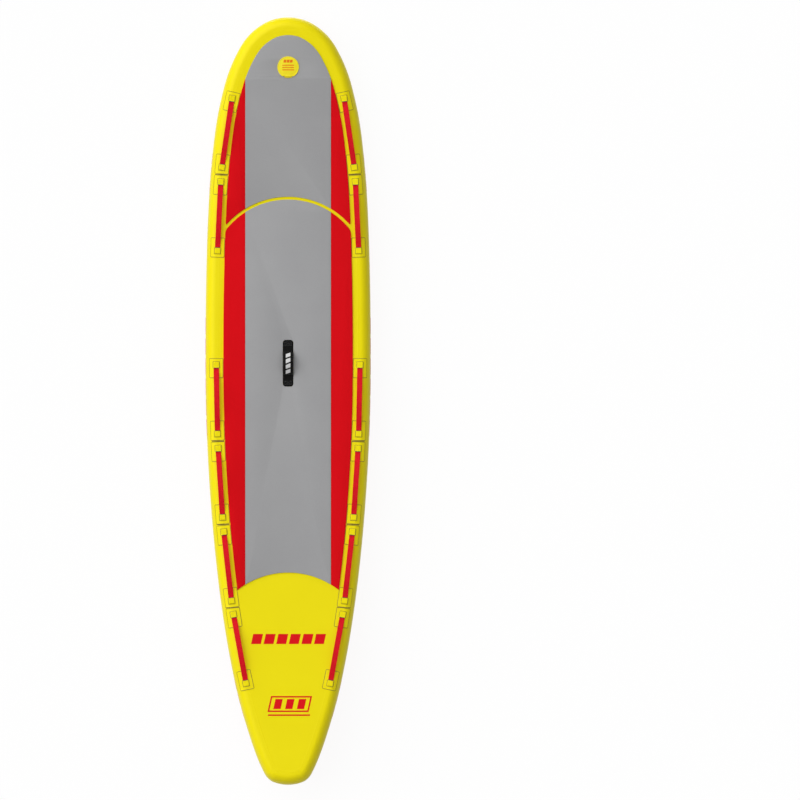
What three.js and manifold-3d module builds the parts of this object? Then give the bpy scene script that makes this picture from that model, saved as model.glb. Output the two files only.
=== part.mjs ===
// A twelve-foot inflatable lifeguard rescue board, in millimetres.
// +Y points to the nose, +X to the right of someone standing on the deck, +Z up.
// The origin lies under the middle of the board, at the height of the fin's tip.

import * as THREE from 'three';
import Module from 'manifold-3d';

const wasm = await Module();
wasm.setup();

// Driving dimensions of the inflated body

const BOARD_LENGTH = 3658;
const BOARD_WIDTH = 787;
const BOARD_THICKNESS = 140;
const RAIL_DEPTH = 47; // from the widest line in to where deck and hull turn flat
const SKIN_THICKNESS = 1.4;
const SEAT_GAP = 0.3; // between pieces that are glued or welded face to face
const HULL_WRAP = 20; // how far the hull skin comes up the side
const RAIL_LAP = 60; // inset of the rail band's upper edge
const KICK_LENGTH = 479; // the nose rises over this length
const DECK_KICK = 27;
const HULL_KICK = 53.5;
const DECK_KICK_POWER_SHARE = 1.2;
const HULL_KICK_POWER_SHARE = 1.62;
const TOOL_OVERRUN = 40; // cutting solids run this far past what they cut
const WELD_GRID = 0.001; // corners nearer than this are one corner

// Half outline from the nose tip to the middle of the tail:
// share of the length, share of the half width

const outlineShares = [
  [0, 0], [0.0039, 0.208], [0.0152, 0.39], [0.0302, 0.525], [0.0498, 0.632], [0.0758, 0.733],
  [0.1084, 0.814], [0.141, 0.8725], [0.2061, 0.9385], [0.2713, 0.9735], [0.3518, 0.994],
  [0.4341, 1], [0.4993, 0.9955], [0.5644, 0.9755], [0.6296, 0.939], [0.6947, 0.8865],
  [0.7599, 0.8155], [0.825, 0.7205], [0.8902, 0.5915], [0.9553, 0.406], [0.9788, 0.3155],
  [0.9892, 0.262], [0.995, 0.204], [0.9981, 0.129], [0.9995, 0.065], [1, 0],
];
const SAMPLES_PER_SPAN = 2;

// Rail section: angles up from the widest line, in degrees

const DECK_SIDE_ANGLES = [90, 77, 54, 27, 0];
const HULL_SIDE_ANGLES = [-23];
const WRAP_ANGLES = [-67, -90];

// Deck pads of closed-cell foam

const PAD_THICKNESS = 5;
const PAD_INSET = 87.5;
const CENTRE_PAD_HALF_WIDTH = 204;
const PAD_BUTT_GAP = 0.4;
const PAD_ARC_RADIUS = 391;
const PAD_ARC_FROM_NOSE = 855; // nose side of the bare stripe, on the centre line
const PAD_STRIPE = 14;
const PAD_END_FROM_TAIL = 1012; // on the centre line
const PAD_ARC_STEPS = 30;

// Grab straps along both rails: places as shares of the board's length from the nose

const strapCentreShares = [0.1506, 0.2592, 0.4978, 0.6066, 0.7154, 0.8229];
const STRAP_PATCH_GAP = 3.2; // between the nearest patches of two neighbouring straps
const STRAP_INSET = 51;
const STRAP_WIDTH = 26;
const STRAP_THICKNESS = 2.4;
const STRAP_ARCH = 24;
const STRAP_TUCK = 27; // length held in each pocket
const STRAP_CROWN_SHARE = 0.47; // level middle of the loop, as a share of its length
const POCKET_WIDTH = 32;
const POCKET_LENGTH = 31;
const POCKET_LID = 2;
const PATCH_WIDTH = 64;
const PATCH_LENGTH = 92;
const PATCH_CORNER = 7;
const PATCH_THICKNESS = 1.2;

// Carry handle in the middle of the deck

const HANDLE_AHEAD_OF_MIDDLE = 180;
const HANDLE_LENGTH = 222;
const HANDLE_WIDTH = 50;
const HANDLE_CORNER = 8;
const HANDLE_BASE_THICKNESS = 1.4;
const HANDLE_WEB_WIDTH = 38;
const HANDLE_WEB_THICKNESS = 2.6;
const HANDLE_TAB = 20; // sewn length at each end
const HANDLE_ARCH = 36;
const HANDLE_STEPS = 14;
const GRIP_LENGTH = 112;
const GRIP_WIDTH = 48;
const GRIP_THICKNESS = 11;

// Inflation valve near the nose and its round lid

const VALVE_FROM_NOSE = 237;
const LID_RADIUS = 51.5;
const LID_THICKNESS = 3;
const LID_HINGE_OFFSET = 44; // hinge axis aft of the valve's centre
const LID_BARREL_RADIUS = 2;
const LID_PIN_RADIUS = 1;
const LID_BARREL_HALF = 8.7;
const LID_EAR_HALF = 17;
const LID_CUT_CLEARANCE = 0.5;
const LID_BLOCK_DEPTH = 3;
const LID_SIDES = 48;
const ROUND_SIDES = 24;
const PIN_SIDES = 12;
const FLANGE_RADIUS = 40;
const FLANGE_THICKNESS = 2.4;
const CUP_RADIUS = 20;
const CUP_WALL = 2.5;
const CUP_DEPTH = 20; // from the deck down to the top of the cup's floor
const CUP_FLOOR = 3;
const FLOOR_HOLE_RADIUS = 5.6;
const NUT_RADIUS = 28;
const NUT_THICKNESS = 6;
const NUT_SIDES = 8;
const STEM_RADIUS = 3.6;
const BUTTON_RADIUS = 8.5;
const BUTTON_THICKNESS = 3;
const SEAL_RADIUS = 12;
const SEAL_THICKNESS = 3;
const SPRING_HEIGHT = 11;
const SPRING_RADIUS = 6.2;
const SPRING_WIRE_RADIUS = 0.65;
const SPRING_TURNS = 4;
const SPRING_STEPS_PER_TURN = 10;
const SPRING_WIRE_SIDES = 5;
const VALVE_WELL_DEPTH = 38;
const VALVE_CLEARANCE = 0.5;

// Tow ring on the underside of the nose

const NOSE_PANEL_INSET = 19.5;
const NOSE_PANEL_ARC_FROM_NOSE = 449;
const NOSE_PANEL_ARC_RADIUS = 687;
const NOSE_PANEL_THICKNESS = 1;
const TOW_FROM_NOSE = 173;
const TOW_PATCH_RADIUS = 43;
const TOW_RING_WIDTH = 55;
const TOW_RING_LENGTH = 48;
const TOW_WIRE_RADIUS = 3.2;
const TOW_BAR_OFFSET = 16; // bar of the ring aft of the patch's centre
const TOW_LOOP_WIDTH = 27;
const TOW_LOOP_LENGTH = 26;
const TOW_LOOP_WALL = 2.4;
const TOW_STEPS = 28;
const TOW_WIRE_SIDES = 8;
const TOW_CLEARANCE = 0.4;

// Fin box and the fin that slides into it from behind

const FIN_DEPTH = 115; // fin tip below the hull
const BOX_REAR_FROM_TAIL = 326;
const BOX_LENGTH = 206;
const BOX_WIDTH = 137;
const BOX_CORNER = 9;
const BOX_PLATE = 2.6;
const CHANNEL_SETBACK = 20; // its front end behind the front edge of the plate
const CHANNEL_WIDTH = 40;
const CHANNEL_HEIGHT = 14;
const CHANNEL_END_WALL = 10;
const KEY_WIDTH = 24;
const KEY_HEIGHT = 5;
const FIN_CLEARANCE = 0.4;
const FIN_THICKNESS = 10.6;
const FIN_TIP_THICKNESS = 5;
const FIN_TIP_CHORD_SHARE = 0.4;
const FIN_RAKE = 84; // how far the middle of the tip lies aft of the middle of the root
const FIN_ROOT_BACK = 28; // root of the blade ends this far ahead of the channel's mouth
const FIN_TAPER_POWER_SHARE = 1.6;
const FIN_RAKE_POWER_SHARE = 1.5;
const FIN_LEVELS = 8;
const FIN_SECTION_STEPS = 7;
const TONGUE_THICKNESS = 4;
const TONGUE_LENGTH = 12;
const TONGUE_HEIGHT = 9;
const LEVER_LENGTH = 34;
const LEVER_WIDTH = 9;
const LEVER_HEIGHT = 8;
const LEVER_PIN_RADIUS = 1.5;
const LEVER_SLOT_LENGTH = 13.5;

// Colours of the real materials

const YELLOW = 0xecdd00;
const RED = 0xd20612;
const GREY = 0x9c9c9d;
const BLACK = 0x151513;
const CHARCOAL = 0x383838;
const STEEL = 0xc4c8cc;
const WHITE = 0xe8e8e4;

// Heights and places that follow from the sizes above

const HULL_LEVEL = FIN_DEPTH;
const FULL_TURN = 2 * Math.PI;
const radians = THREE.MathUtils.degToRad;
const yFromNose = (distance) => BOARD_LENGTH / 2 - distance;
const padEndFromNose = BOARD_LENGTH - PAD_END_FROM_TAIL;

function kickShare(y) {
  return Math.max(0, (y - yFromNose(KICK_LENGTH)) / KICK_LENGTH);
}

function deckHeight(y) {
  return HULL_LEVEL + BOARD_THICKNESS + DECK_KICK * kickShare(y) ** DECK_KICK_POWER_SHARE;
}

function hullHeight(y) {
  return HULL_LEVEL + HULL_KICK * kickShare(y) ** HULL_KICK_POWER_SHARE;
}

// Stations round the plan outline, clockwise from the nose tip, each with its inward normal

function outlineStations() {
  const right = outlineShares.map(([along, across]) => new THREE.Vector3(
    across * BOARD_WIDTH / 2, yFromNose(along * BOARD_LENGTH), 0));
  const left = right.slice(1, -1).reverse().map((p) => new THREE.Vector3(-p.x, p.y, 0));
  const ring = new THREE.CatmullRomCurve3([...right, ...left], true, 'centripetal');
  const count = (right.length + left.length) * SAMPLES_PER_SPAN;
  return Array.from({ length: count }, (_, i) => {
    const point = ring.getPoint(i / count);
    const tangent = ring.getTangent(i / count);
    return { x: point.x, y: point.y, nx: tangent.y, ny: -tangent.x };
  });
}

const stations = outlineStations();

// One point of the rail section at a station, lifted off the body's surface by lift

function railPoint(station, lift, degrees, inset = null) {
  const angle = radians(degrees);
  const depth = inset ?? RAIL_DEPTH - (RAIL_DEPTH + lift) * Math.cos(angle);
  const x = station.x + station.nx * depth;
  const y = station.y + station.ny * depth;
  const half = (deckHeight(y) - hullHeight(y)) / 2;
  const middle = (deckHeight(y) + hullHeight(y)) / 2;
  return new THREE.Vector3(x, y, middle + (half + lift) * Math.sin(angle));
}

const railLoop = (lift, degrees, inset) => stations.map((s) => railPoint(s, lift, degrees, inset));

// Turns rows of points into one closed indexed geometry with its faces pointing out

function closedGeometry(points, triangles) {
  let volume = 0;
  const cross = new THREE.Vector3();
  for (const [a, b, c] of triangles) {
    volume += points[a].dot(cross.crossVectors(points[b], points[c]));
  }
  const faces = volume < 0 ? triangles.map(([a, b, c]) => [a, c, b]) : triangles;
  const geometry = new THREE.BufferGeometry();
  const values = points.flatMap((p) => [p.x, p.y, p.z]);
  geometry.setAttribute('position', new THREE.Float32BufferAttribute(values, 3));
  geometry.setIndex(faces.flat());
  return geometry;
}

function wallTriangles(loopCount, ringSize, closesOnItself) {
  const triangles = [];
  const last = closesOnItself ? loopCount : loopCount - 1;
  for (let j = 0; j < last; j++) {
    for (let i = 0; i < ringSize; i++) {
      const a = j * ringSize + i;
      const b = j * ringSize + (i + 1) % ringSize;
      const c = ((j + 1) % loopCount) * ringSize + i;
      const d = ((j + 1) % loopCount) * ringSize + (i + 1) % ringSize;
      triangles.push([a, b, d], [a, d, c]);
    }
  }
  return triangles;
}

// A skin or band that runs right round and closes on itself, like a stretched tyre

function ringSolid(loops) {
  return closedGeometry(loops.flat(), wallTriangles(loops.length, loops[0].length, true));
}

// A body whose first and last loops are closed by strips from side to side

function cappedSolid(loops) {
  const size = loops[0].length;
  const triangles = wallTriangles(loops.length, size, false);
  const cap = (offset, flip) => {
    const add = (a, b, c) => triangles.push(flip ? [offset + a, offset + c, offset + b]
      : [offset + a, offset + b, offset + c]);
    for (let i = 0; i < size / 2; i++) {
      const left = (size - i) % size;
      const nextLeft = size - i - 1;
      if (i > 0) add(i, left, i + 1);
      if (left > 0) {
        if (nextLeft > i + 1) add(left, nextLeft, i + 1);
      } else {
        add(i, nextLeft, i + 1);
      }
    }
  };
  cap(0, false);
  cap((loops.length - 1) * size, true);
  return closedGeometry(loops.flat(), triangles);
}

// Joining and cutting

function solid(geometry) {
  let source = geometry;
  if (!source.index || source.getAttribute('normal') || source.getAttribute('uv')) {
    source = weld(geometry);
  }
  return new wasm.Manifold(new wasm.Mesh({
    numProp: 3,
    vertProperties: new Float32Array(source.getAttribute('position').array),
    triVerts: new Uint32Array(source.index.array),
  }));
}

function weld(geometry) {
  const position = geometry.getAttribute('position');
  const corners = geometry.index ? Array.from(geometry.index.array)
    : Array.from({ length: position.count }, (_, i) => i);
  const places = new Map();
  const points = [];
  const found = corners.map((corner) => {
    const point = new THREE.Vector3().fromBufferAttribute(position, corner);
    const key = point.toArray().map((value) => Math.round(value / WELD_GRID)).join(' ');
    if (!places.has(key)) {
      places.set(key, points.length);
      points.push(point);
    }
    return places.get(key);
  });
  const triangles = [];
  for (let i = 0; i < found.length; i += 3) {
    const [a, b, c] = found.slice(i, i + 3);
    if (a !== b && b !== c && c !== a) triangles.push([a, b, c]);
  }
  return closedGeometry(points, triangles);
}

function geometryOf(body) {
  const mesh = body.getMesh();
  const geometry = new THREE.BufferGeometry();
  const positions = new Float32Array(mesh.numVert * 3);
  for (let i = 0; i < mesh.numVert; i++) {
    for (let k = 0; k < 3; k++) positions[i * 3 + k] = mesh.vertProperties[i * mesh.numProp + k];
  }
  geometry.setAttribute('position', new THREE.BufferAttribute(positions, 3));
  geometry.setIndex(new THREE.BufferAttribute(new Uint32Array(mesh.triVerts), 1));
  return geometry;
}

// Upright prism over a plan outline, from floor to ceiling of the whole board

function prism(shape, steps = 6) {
  const floor = HULL_LEVEL - FIN_DEPTH - TOOL_OVERRUN;
  const ceiling = HULL_LEVEL + BOARD_THICKNESS + DECK_KICK + 2 * TOOL_OVERRUN;
  const geometry = new THREE.ExtrudeGeometry(shape, {
    depth: ceiling - floor, bevelEnabled: false, curveSegments: steps,
  });
  geometry.translate(0, 0, floor);
  return solid(geometry);
}

function polygonShape(points) {
  return new THREE.Shape(points.map((p) => new THREE.Vector2(p.x, p.y)));
}

function circleShape(x, y, radius) {
  return new THREE.Shape().absarc(x, y, radius, 0, FULL_TURN);
}

function roundedRectangle(width, length, corner) {
  const shape = new THREE.Shape();
  const w = width / 2;
  const l = length / 2;
  shape.absarc(w - corner, l - corner, corner, 0, Math.PI / 2);
  shape.absarc(-w + corner, l - corner, corner, Math.PI / 2, Math.PI);
  shape.absarc(-w + corner, -l + corner, corner, Math.PI, 1.5 * Math.PI);
  shape.absarc(w - corner, -l + corner, corner, 1.5 * Math.PI, FULL_TURN);
  return shape;
}

// A rounded rectangle standing on the deck plan at a place, turned to a direction

function placedPrism(shape, x, y, turn = 0, steps = 2) {
  return prism(shape, steps).rotate([0, 0, THREE.MathUtils.radToDeg(turn)]).translate([x, y, 0]);
}

function box(xMin, xMax, yMin, yMax, zMin, zMax) {
  const geometry = new THREE.BoxGeometry(xMax - xMin, yMax - yMin, zMax - zMin);
  geometry.translate((xMin + xMax) / 2, (yMin + yMax) / 2, (zMin + zMax) / 2);
  return solid(geometry);
}

// Sheets that follow the deck or the hull at a lift off the body's surface

function deckLayer(lower, upper) {
  const outer = DECK_SIDE_ANGLES.map((angle) => railLoop(upper, angle));
  const inner = DECK_SIDE_ANGLES.map((angle) => railLoop(lower, angle)).reverse();
  return solid(cappedSolid([...outer, ...inner]));
}

function hullLayer(lower, upper) {
  const angles = [...WRAP_ANGLES].reverse().concat(wrapAngle());
  const outer = angles.map((angle) => railLoop(upper, angle));
  const inner = angles.map((angle) => railLoop(lower, angle)).reverse();
  return solid(cappedSolid([...outer, ...inner]));
}

// The air core: two woven faces held apart by yarns, one sealed body of air

function coreGeometry() {
  const depth = -SKIN_THICKNESS - SEAT_GAP;
  const angles = [...DECK_SIDE_ANGLES, ...HULL_SIDE_ANGLES, wrapAngle(), ...WRAP_ANGLES];
  const body = solid(cappedSolid(angles.map((angle) => railLoop(depth, angle))));
  return geometryOf(body.subtract(valveWell()));
}

function wrapAngle(extra = 0) {
  const share = (HULL_WRAP + extra - BOARD_THICKNESS / 2) / (BOARD_THICKNESS / 2);
  return THREE.MathUtils.radToDeg(Math.asin(share));
}

function railBandGeometry() {
  const angles = [...DECK_SIDE_ANGLES, ...HULL_SIDE_ANGLES, wrapAngle(SEAT_GAP)];
  const outer = angles.map((angle) => railLoop(0, angle));
  const inner = angles.map((angle) => railLoop(-SKIN_THICKNESS, angle)).reverse();
  const lapOuter = railLoop(0, angles[0], RAIL_LAP);
  const lapInner = railLoop(-SKIN_THICKNESS, angles[0], RAIL_LAP);
  return ringSolid([lapOuter, ...outer, ...inner, lapInner]);
}

function hullSkinGeometry() {
  const angles = [wrapAngle(), ...WRAP_ANGLES];
  const outer = angles.map((angle) => railLoop(0, angle)).reverse();
  const inner = angles.map((angle) => railLoop(-SKIN_THICKNESS, angle));
  return cappedSolid([...outer, ...inner]);
}

function deckSkinGeometry() {
  const edge = RAIL_LAP + SEAT_GAP;
  const top = railLoop(0, 90, edge);
  const bottom = railLoop(-SKIN_THICKNESS, 90, edge);
  return geometryOf(solid(cappedSolid([top, bottom])).subtract(valveWell()));
}

// Plan region inside the outline by an inset, from the nose to a little past a given distance

function insetRegion(inset, backFromNose) {
  const y = yFromNose(backFromNose);
  const points = stations.map((s) => ({ x: s.x + s.nx * inset, y: s.y + s.ny * inset }))
    .filter((p) => p.y > y - TOOL_OVERRUN);
  return prism(polygonShape(points));
}

function discPrism(centreFromNose, radius, steps) {
  return prism(circleShape(0, yFromNose(centreFromNose), radius), steps);
}

const ceilingZ = HULL_LEVEL + BOARD_THICKNESS + DECK_KICK + TOOL_OVERRUN;

function slabY(fromNoseStart, fromNoseEnd, xMin, xMax) {
  return box(xMin, xMax, yFromNose(fromNoseEnd), yFromNose(fromNoseStart), 0, ceilingZ);
}

// Foam pads: one centre pad and two side pads ahead of the bare stripe, and the same behind it

function padGeometries() {
  const layer = deckLayer(SEAT_GAP, SEAT_GAP + PAD_THICKNESS);
  const wide = BOARD_WIDTH;
  const inner = CENTRE_PAD_HALF_WIDTH;
  const steps = PAD_ARC_STEPS;
  const region = insetRegion(PAD_INSET, padEndFromNose + PAD_ARC_RADIUS / 2);
  const arcCentre = PAD_ARC_FROM_NOSE + PAD_ARC_RADIUS;
  const behindFront = discPrism(arcCentre, PAD_ARC_RADIUS, steps)
    .add(slabY(arcCentre, BOARD_LENGTH, -wide, wide));
  const mainStart = discPrism(arcCentre, PAD_ARC_RADIUS - PAD_STRIPE, steps)
    .add(slabY(arcCentre, padEndFromNose + PAD_ARC_RADIUS, -wide, wide));
  const bareTail = discPrism(padEndFromNose + PAD_ARC_RADIUS, PAD_ARC_RADIUS, steps)
    .add(slabY(padEndFromNose + PAD_ARC_RADIUS, BOARD_LENGTH, -wide, wide));
  const zones = {
    front: layer.intersect(region).subtract(behindFront),
    main: layer.intersect(region).intersect(mainStart).subtract(bareTail)
      .subtract(placedPrism(handleOutline(SEAT_GAP), 0, HANDLE_AHEAD_OF_MIDDLE)),
  };
  const strips = {
    centre: [-inner, inner],
    left: [-wide, -inner - PAD_BUTT_GAP],
    right: [inner + PAD_BUTT_GAP, wide],
  };
  const result = {};
  for (const [zone, body] of Object.entries(zones)) {
    for (const [side, [xMin, xMax]] of Object.entries(strips)) {
      const piece = body.intersect(slabY(0, BOARD_LENGTH, xMin, xMax));
      result[`${zone}_pad_${side}`] = zone === 'front' ? piece.subtract(valvePadHole()) : piece;
    }
  }
  return result;
}

function evenly(from, to, steps) {
  return Array.from({ length: steps + 1 }, (_, i) => THREE.MathUtils.lerp(from, to, i / steps));
}

// A strip of webbing or lid over the deck: places along its length, level from side to side

function strip(centre, direction, places, halfWidth, lower, upper) {
  const across = new THREE.Vector2(direction.y, -direction.x);
  const points = [];
  for (const along of places) {
    const x = centre.x + direction.x * along;
    const y = centre.y + direction.y * along;
    const level = deckHeight(y);
    for (const [side, height] of [[-1, lower], [1, lower], [1, upper], [-1, upper]]) {
      points.push(new THREE.Vector3(
        x + across.x * halfWidth * side, y + across.y * halfWidth * side, level + height(along)));
    }
  }
  const triangles = wallTriangles(places.length, 4, false);
  const end = (places.length - 1) * 4;
  triangles.push([0, 2, 1], [0, 3, 2], [end, end + 1, end + 2], [end, end + 2, end + 3]);
  return closedGeometry(points, triangles);
}

function archRise(along, half, rise) {
  if (Math.abs(along) >= half) return 0;
  return rise * Math.cos(Math.PI * along / (2 * half)) ** 2;
}

// A point on the right-hand line at an inset from the outline, at a given y

function insetPoint(y, inset) {
  const line = stations.slice(0, stations.length / 2 + 1)
    .map((s) => ({ x: s.x + s.nx * inset, y: s.y + s.ny * inset }));
  for (let i = 1; i < line.length; i++) {
    if (line[i].y <= y && line[i - 1].y > y) {
      const share = (line[i - 1].y - y) / (line[i - 1].y - line[i].y);
      return new THREE.Vector2(THREE.MathUtils.lerp(line[i - 1].x, line[i].x, share), y);
    }
  }
  throw new Error('no point of the outline at that y');
}

function outlineTurn(y, inset) {
  const reach = PATCH_LENGTH / 2;
  const tangent = insetPoint(y + reach, inset).sub(insetPoint(y - reach, inset));
  return Math.atan2(-tangent.x, tangent.y);
}

const webUnderside = SEAT_GAP + PATCH_THICKNESS + SEAT_GAP;
const webTop = webUnderside + STRAP_THICKNESS;
const strapSteps = strapCentreShares.slice(1).map((share, i) => share - strapCentreShares[i]);
const strapPitch = Math.min(...strapSteps) * BOARD_LENGTH;
const strapSpan = strapPitch - PATCH_LENGTH - STRAP_PATCH_GAP; // between its two pockets' mouths

// One grab strap on the right side: its webbing and the welded anchor at each end

function strapGeometries(centreFromNose, patchLayer, lidLayer) {
  const frontY = yFromNose(centreFromNose) + strapSpan / 2;
  const rearY = frontY - strapSpan;
  const front = insetPoint(frontY, STRAP_INSET);
  const rear = insetPoint(rearY, STRAP_INSET);
  const centre = front.clone().add(rear).multiplyScalar(0.5);
  const direction = front.clone().sub(rear).normalize();
  const half = front.distanceTo(rear) / 2;
  const reach = half + STRAP_TUCK;
  const crown = half * STRAP_CROWN_SHARE;
  const ramp = (along) => Math.min(1, Math.max(0, (half - Math.abs(along)) / (half - crown)));
  const rise = (along) => STRAP_ARCH * ramp(along);
  const bends = (end) => [-end, -half, -crown, crown, half, end];
  const webbing = strip(centre, direction, bends(reach), STRAP_WIDTH / 2,
    (a) => webUnderside + rise(a), (a) => webTop + rise(a));
  const cutter = solid(strip(centre, direction, bends(reach + SEAT_GAP), STRAP_WIDTH / 2 + SEAT_GAP,
    (a) => webUnderside - SEAT_GAP + SEAT_GAP / 10 + rise(a), (a) => webTop + SEAT_GAP + rise(a)));
  const anchor = (place, sign) => {
    const patch = patchLayer.intersect(placedPrism(roundedRectangle(PATCH_WIDTH, PATCH_LENGTH,
      PATCH_CORNER), place.x, place.y, outlineTurn(place.y, STRAP_INSET), 1));
    const lid = solid(strip(centre, direction, evenly(sign * half, sign * (half + POCKET_LENGTH), 2),
      POCKET_WIDTH / 2, () => -TOOL_OVERRUN / 2, () => webTop + SEAT_GAP + POCKET_LID));
    return geometryOf(patch.add(lid.intersect(lidLayer)).subtract(cutter));
  };
  return { webbing, anchor_front: anchor(front, 1), anchor_rear: anchor(rear, -1) };
}

function mirrored(geometry) {
  const copy = geometry.clone();
  copy.scale(-1, 1, 1);
  const index = Array.from(copy.index.array);
  for (let i = 0; i < index.length; i += 3) [index[i], index[i + 1]] = [index[i + 1], index[i]];
  copy.setIndex(index);
  return copy;
}

// Carry handle: base patch in the pad's cut-out, arched webbing and a sleeve to hold

function handleOutline(clearance = 0) {
  return roundedRectangle(HANDLE_WIDTH + 2 * clearance, HANDLE_LENGTH + 2 * clearance,
    HANDLE_CORNER + clearance);
}

function handleGeometries() {
  const centre = new THREE.Vector2(0, HANDLE_AHEAD_OF_MIDDLE);
  const ahead = new THREE.Vector2(0, 1);
  const baseLayer = deckLayer(SEAT_GAP, SEAT_GAP + HANDLE_BASE_THICKNESS);
  const base = baseLayer.intersect(placedPrism(handleOutline(), 0, centre.y));
  const tabEnd = HANDLE_LENGTH / 2 - HANDLE_CORNER;
  const half = tabEnd - HANDLE_TAB;
  const under = SEAT_GAP + HANDLE_BASE_THICKNESS + SEAT_GAP;
  const rise = (along) => archRise(along, half, HANDLE_ARCH);
  const web = (reach, grow, low, high) => strip(centre, ahead, evenly(-reach, reach, HANDLE_STEPS),
    HANDLE_WEB_WIDTH / 2 + grow, (a) => low + rise(a), (a) => high + rise(a));
  const middle = under + HANDLE_WEB_THICKNESS / 2;
  const sleeveUnder = middle - GRIP_THICKNESS / 2;
  const gripPlaces = evenly(-GRIP_LENGTH / 2, GRIP_LENGTH / 2, HANDLE_STEPS);
  const sleeve = solid(strip(centre, ahead, gripPlaces, GRIP_WIDTH / 2,
    (a) => sleeveUnder + rise(a), (a) => sleeveUnder + GRIP_THICKNESS + rise(a)));
  const bore = solid(web(tabEnd, SEAT_GAP, under - SEAT_GAP, under + HANDLE_WEB_THICKNESS + SEAT_GAP));
  return {
    handle_base: geometryOf(base),
    handle_webbing: web(tabEnd, 0, under, under + HANDLE_WEB_THICKNESS),
    handle_grip: geometryOf(sleeve.subtract(bore)),
  };
}

// Valve frame: origin on the deck, its Z square to the sloping nose

const valveY = yFromNose(VALVE_FROM_NOSE);

function slopeAt(height, y) {
  return Math.atan2(height(y + TOOL_OVERRUN) - height(y - TOOL_OVERRUN), 2 * TOOL_OVERRUN);
}

const valveTilt = slopeAt(deckHeight, valveY);
const valveOrigin = [0, valveY, deckHeight(valveY)];

function inValveFrame(body) {
  return body.rotate([THREE.MathUtils.radToDeg(valveTilt), 0, 0]).translate(valveOrigin);
}

function cylinder(radius, zMin, zMax, sides = ROUND_SIDES) {
  const geometry = new THREE.CylinderGeometry(radius, radius, zMax - zMin, sides);
  geometry.rotateX(Math.PI / 2);
  geometry.translate(0, 0, (zMin + zMax) / 2);
  return solid(geometry);
}

function cylinderX(radius, halfLength, y, z, sides = PIN_SIDES) {
  const geometry = new THREE.CylinderGeometry(radius, radius, 2 * halfLength, sides);
  geometry.rotateZ(Math.PI / 2);
  geometry.translate(0, y, z);
  return solid(geometry);
}

function valveWell() {
  const nutTop = -SKIN_THICKNESS - SEAT_GAP;
  const nutBottom = nutTop - NUT_THICKNESS - 2 * VALVE_CLEARANCE;
  const well = cylinder(CUP_RADIUS + VALVE_CLEARANCE, -VALVE_WELL_DEPTH, TOOL_OVERRUN)
    .add(cylinder(NUT_RADIUS + VALVE_CLEARANCE, nutBottom, nutTop - VALVE_CLEARANCE / 2));
  return inValveFrame(well);
}

const lidUnderside = 2 * SEAT_GAP + PAD_THICKNESS;
const lidTop = lidUnderside + LID_THICKNESS;
const hingeZ = lidUnderside + LID_THICKNESS / 2;
const earRadius = LID_BARREL_RADIUS + SEAT_GAP;
const hingeBack = -LID_HINGE_OFFSET - earRadius - 2 * SEAT_GAP;

function valvePadHole() {
  const clear = 2 * SEAT_GAP;
  const round = cylinder(FLANGE_RADIUS + clear, -TOOL_OVERRUN / 2, TOOL_OVERRUN);
  const notch = box(-LID_EAR_HALF - clear, LID_EAR_HALF + clear, hingeBack - LID_BLOCK_DEPTH - clear,
    -FLANGE_RADIUS / 2, -TOOL_OVERRUN / 2, TOOL_OVERRUN);
  return inValveFrame(round.add(notch));
}

// Housing: flange on the deck skin, cup through the skin, and the fixed edge piece with the ears

function valveHousing() {
  const bottom = -CUP_DEPTH - CUP_FLOOR;
  const flangeTop = SEAT_GAP + FLANGE_THICKNESS;
  const outer = cylinder(FLANGE_RADIUS, SEAT_GAP, flangeTop)
    .add(cylinder(CUP_RADIUS, bottom, flangeTop));
  const bore = cylinder(CUP_RADIUS - CUP_WALL, -CUP_DEPTH, TOOL_OVERRUN)
    .add(cylinder(FLOOR_HOLE_RADIUS, bottom - TOOL_OVERRUN, TOOL_OVERRUN, PIN_SIDES));
  const foot = box(-LID_EAR_HALF, LID_EAR_HALF, hingeBack - LID_BLOCK_DEPTH, -FLANGE_RADIUS / 2,
    SEAT_GAP, flangeTop);
  const block = box(-LID_EAR_HALF, LID_EAR_HALF, hingeBack - LID_BLOCK_DEPTH, hingeBack,
    SEAT_GAP, lidTop);
  const segment = cylinder(LID_RADIUS, lidUnderside, lidTop, LID_SIDES)
    .intersect(box(-LID_RADIUS, LID_RADIUS, -LID_RADIUS, hingeBack, 0, TOOL_OVERRUN));
  const ear = (sign) => {
    const near = sign * (LID_BARREL_HALF + SEAT_GAP);
    const far = sign * LID_EAR_HALF;
    const post = box(Math.min(near, far), Math.max(near, far), -LID_HINGE_OFFSET - earRadius,
      -LID_HINGE_OFFSET + earRadius, SEAT_GAP, hingeZ);
    const round = cylinderX(earRadius, LID_EAR_HALF, -LID_HINGE_OFFSET, hingeZ)
      .intersect(box(Math.min(near, far), Math.max(near, far), -LID_RADIUS, 0, 0, TOOL_OVERRUN));
    return post.add(round);
  };
  const eye = cylinderX(LID_PIN_RADIUS + SEAT_GAP, LID_EAR_HALF + TOOL_OVERRUN, -LID_HINGE_OFFSET, hingeZ);
  const whole = outer.subtract(bore).add(foot.subtract(cylinder(CUP_RADIUS, 0, TOOL_OVERRUN)))
    .add(block).add(segment);
  return whole.add(ear(1)).add(ear(-1)).subtract(eye);
}

// Round lid with a barrel and trunnions that turn in the housing's ears

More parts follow.
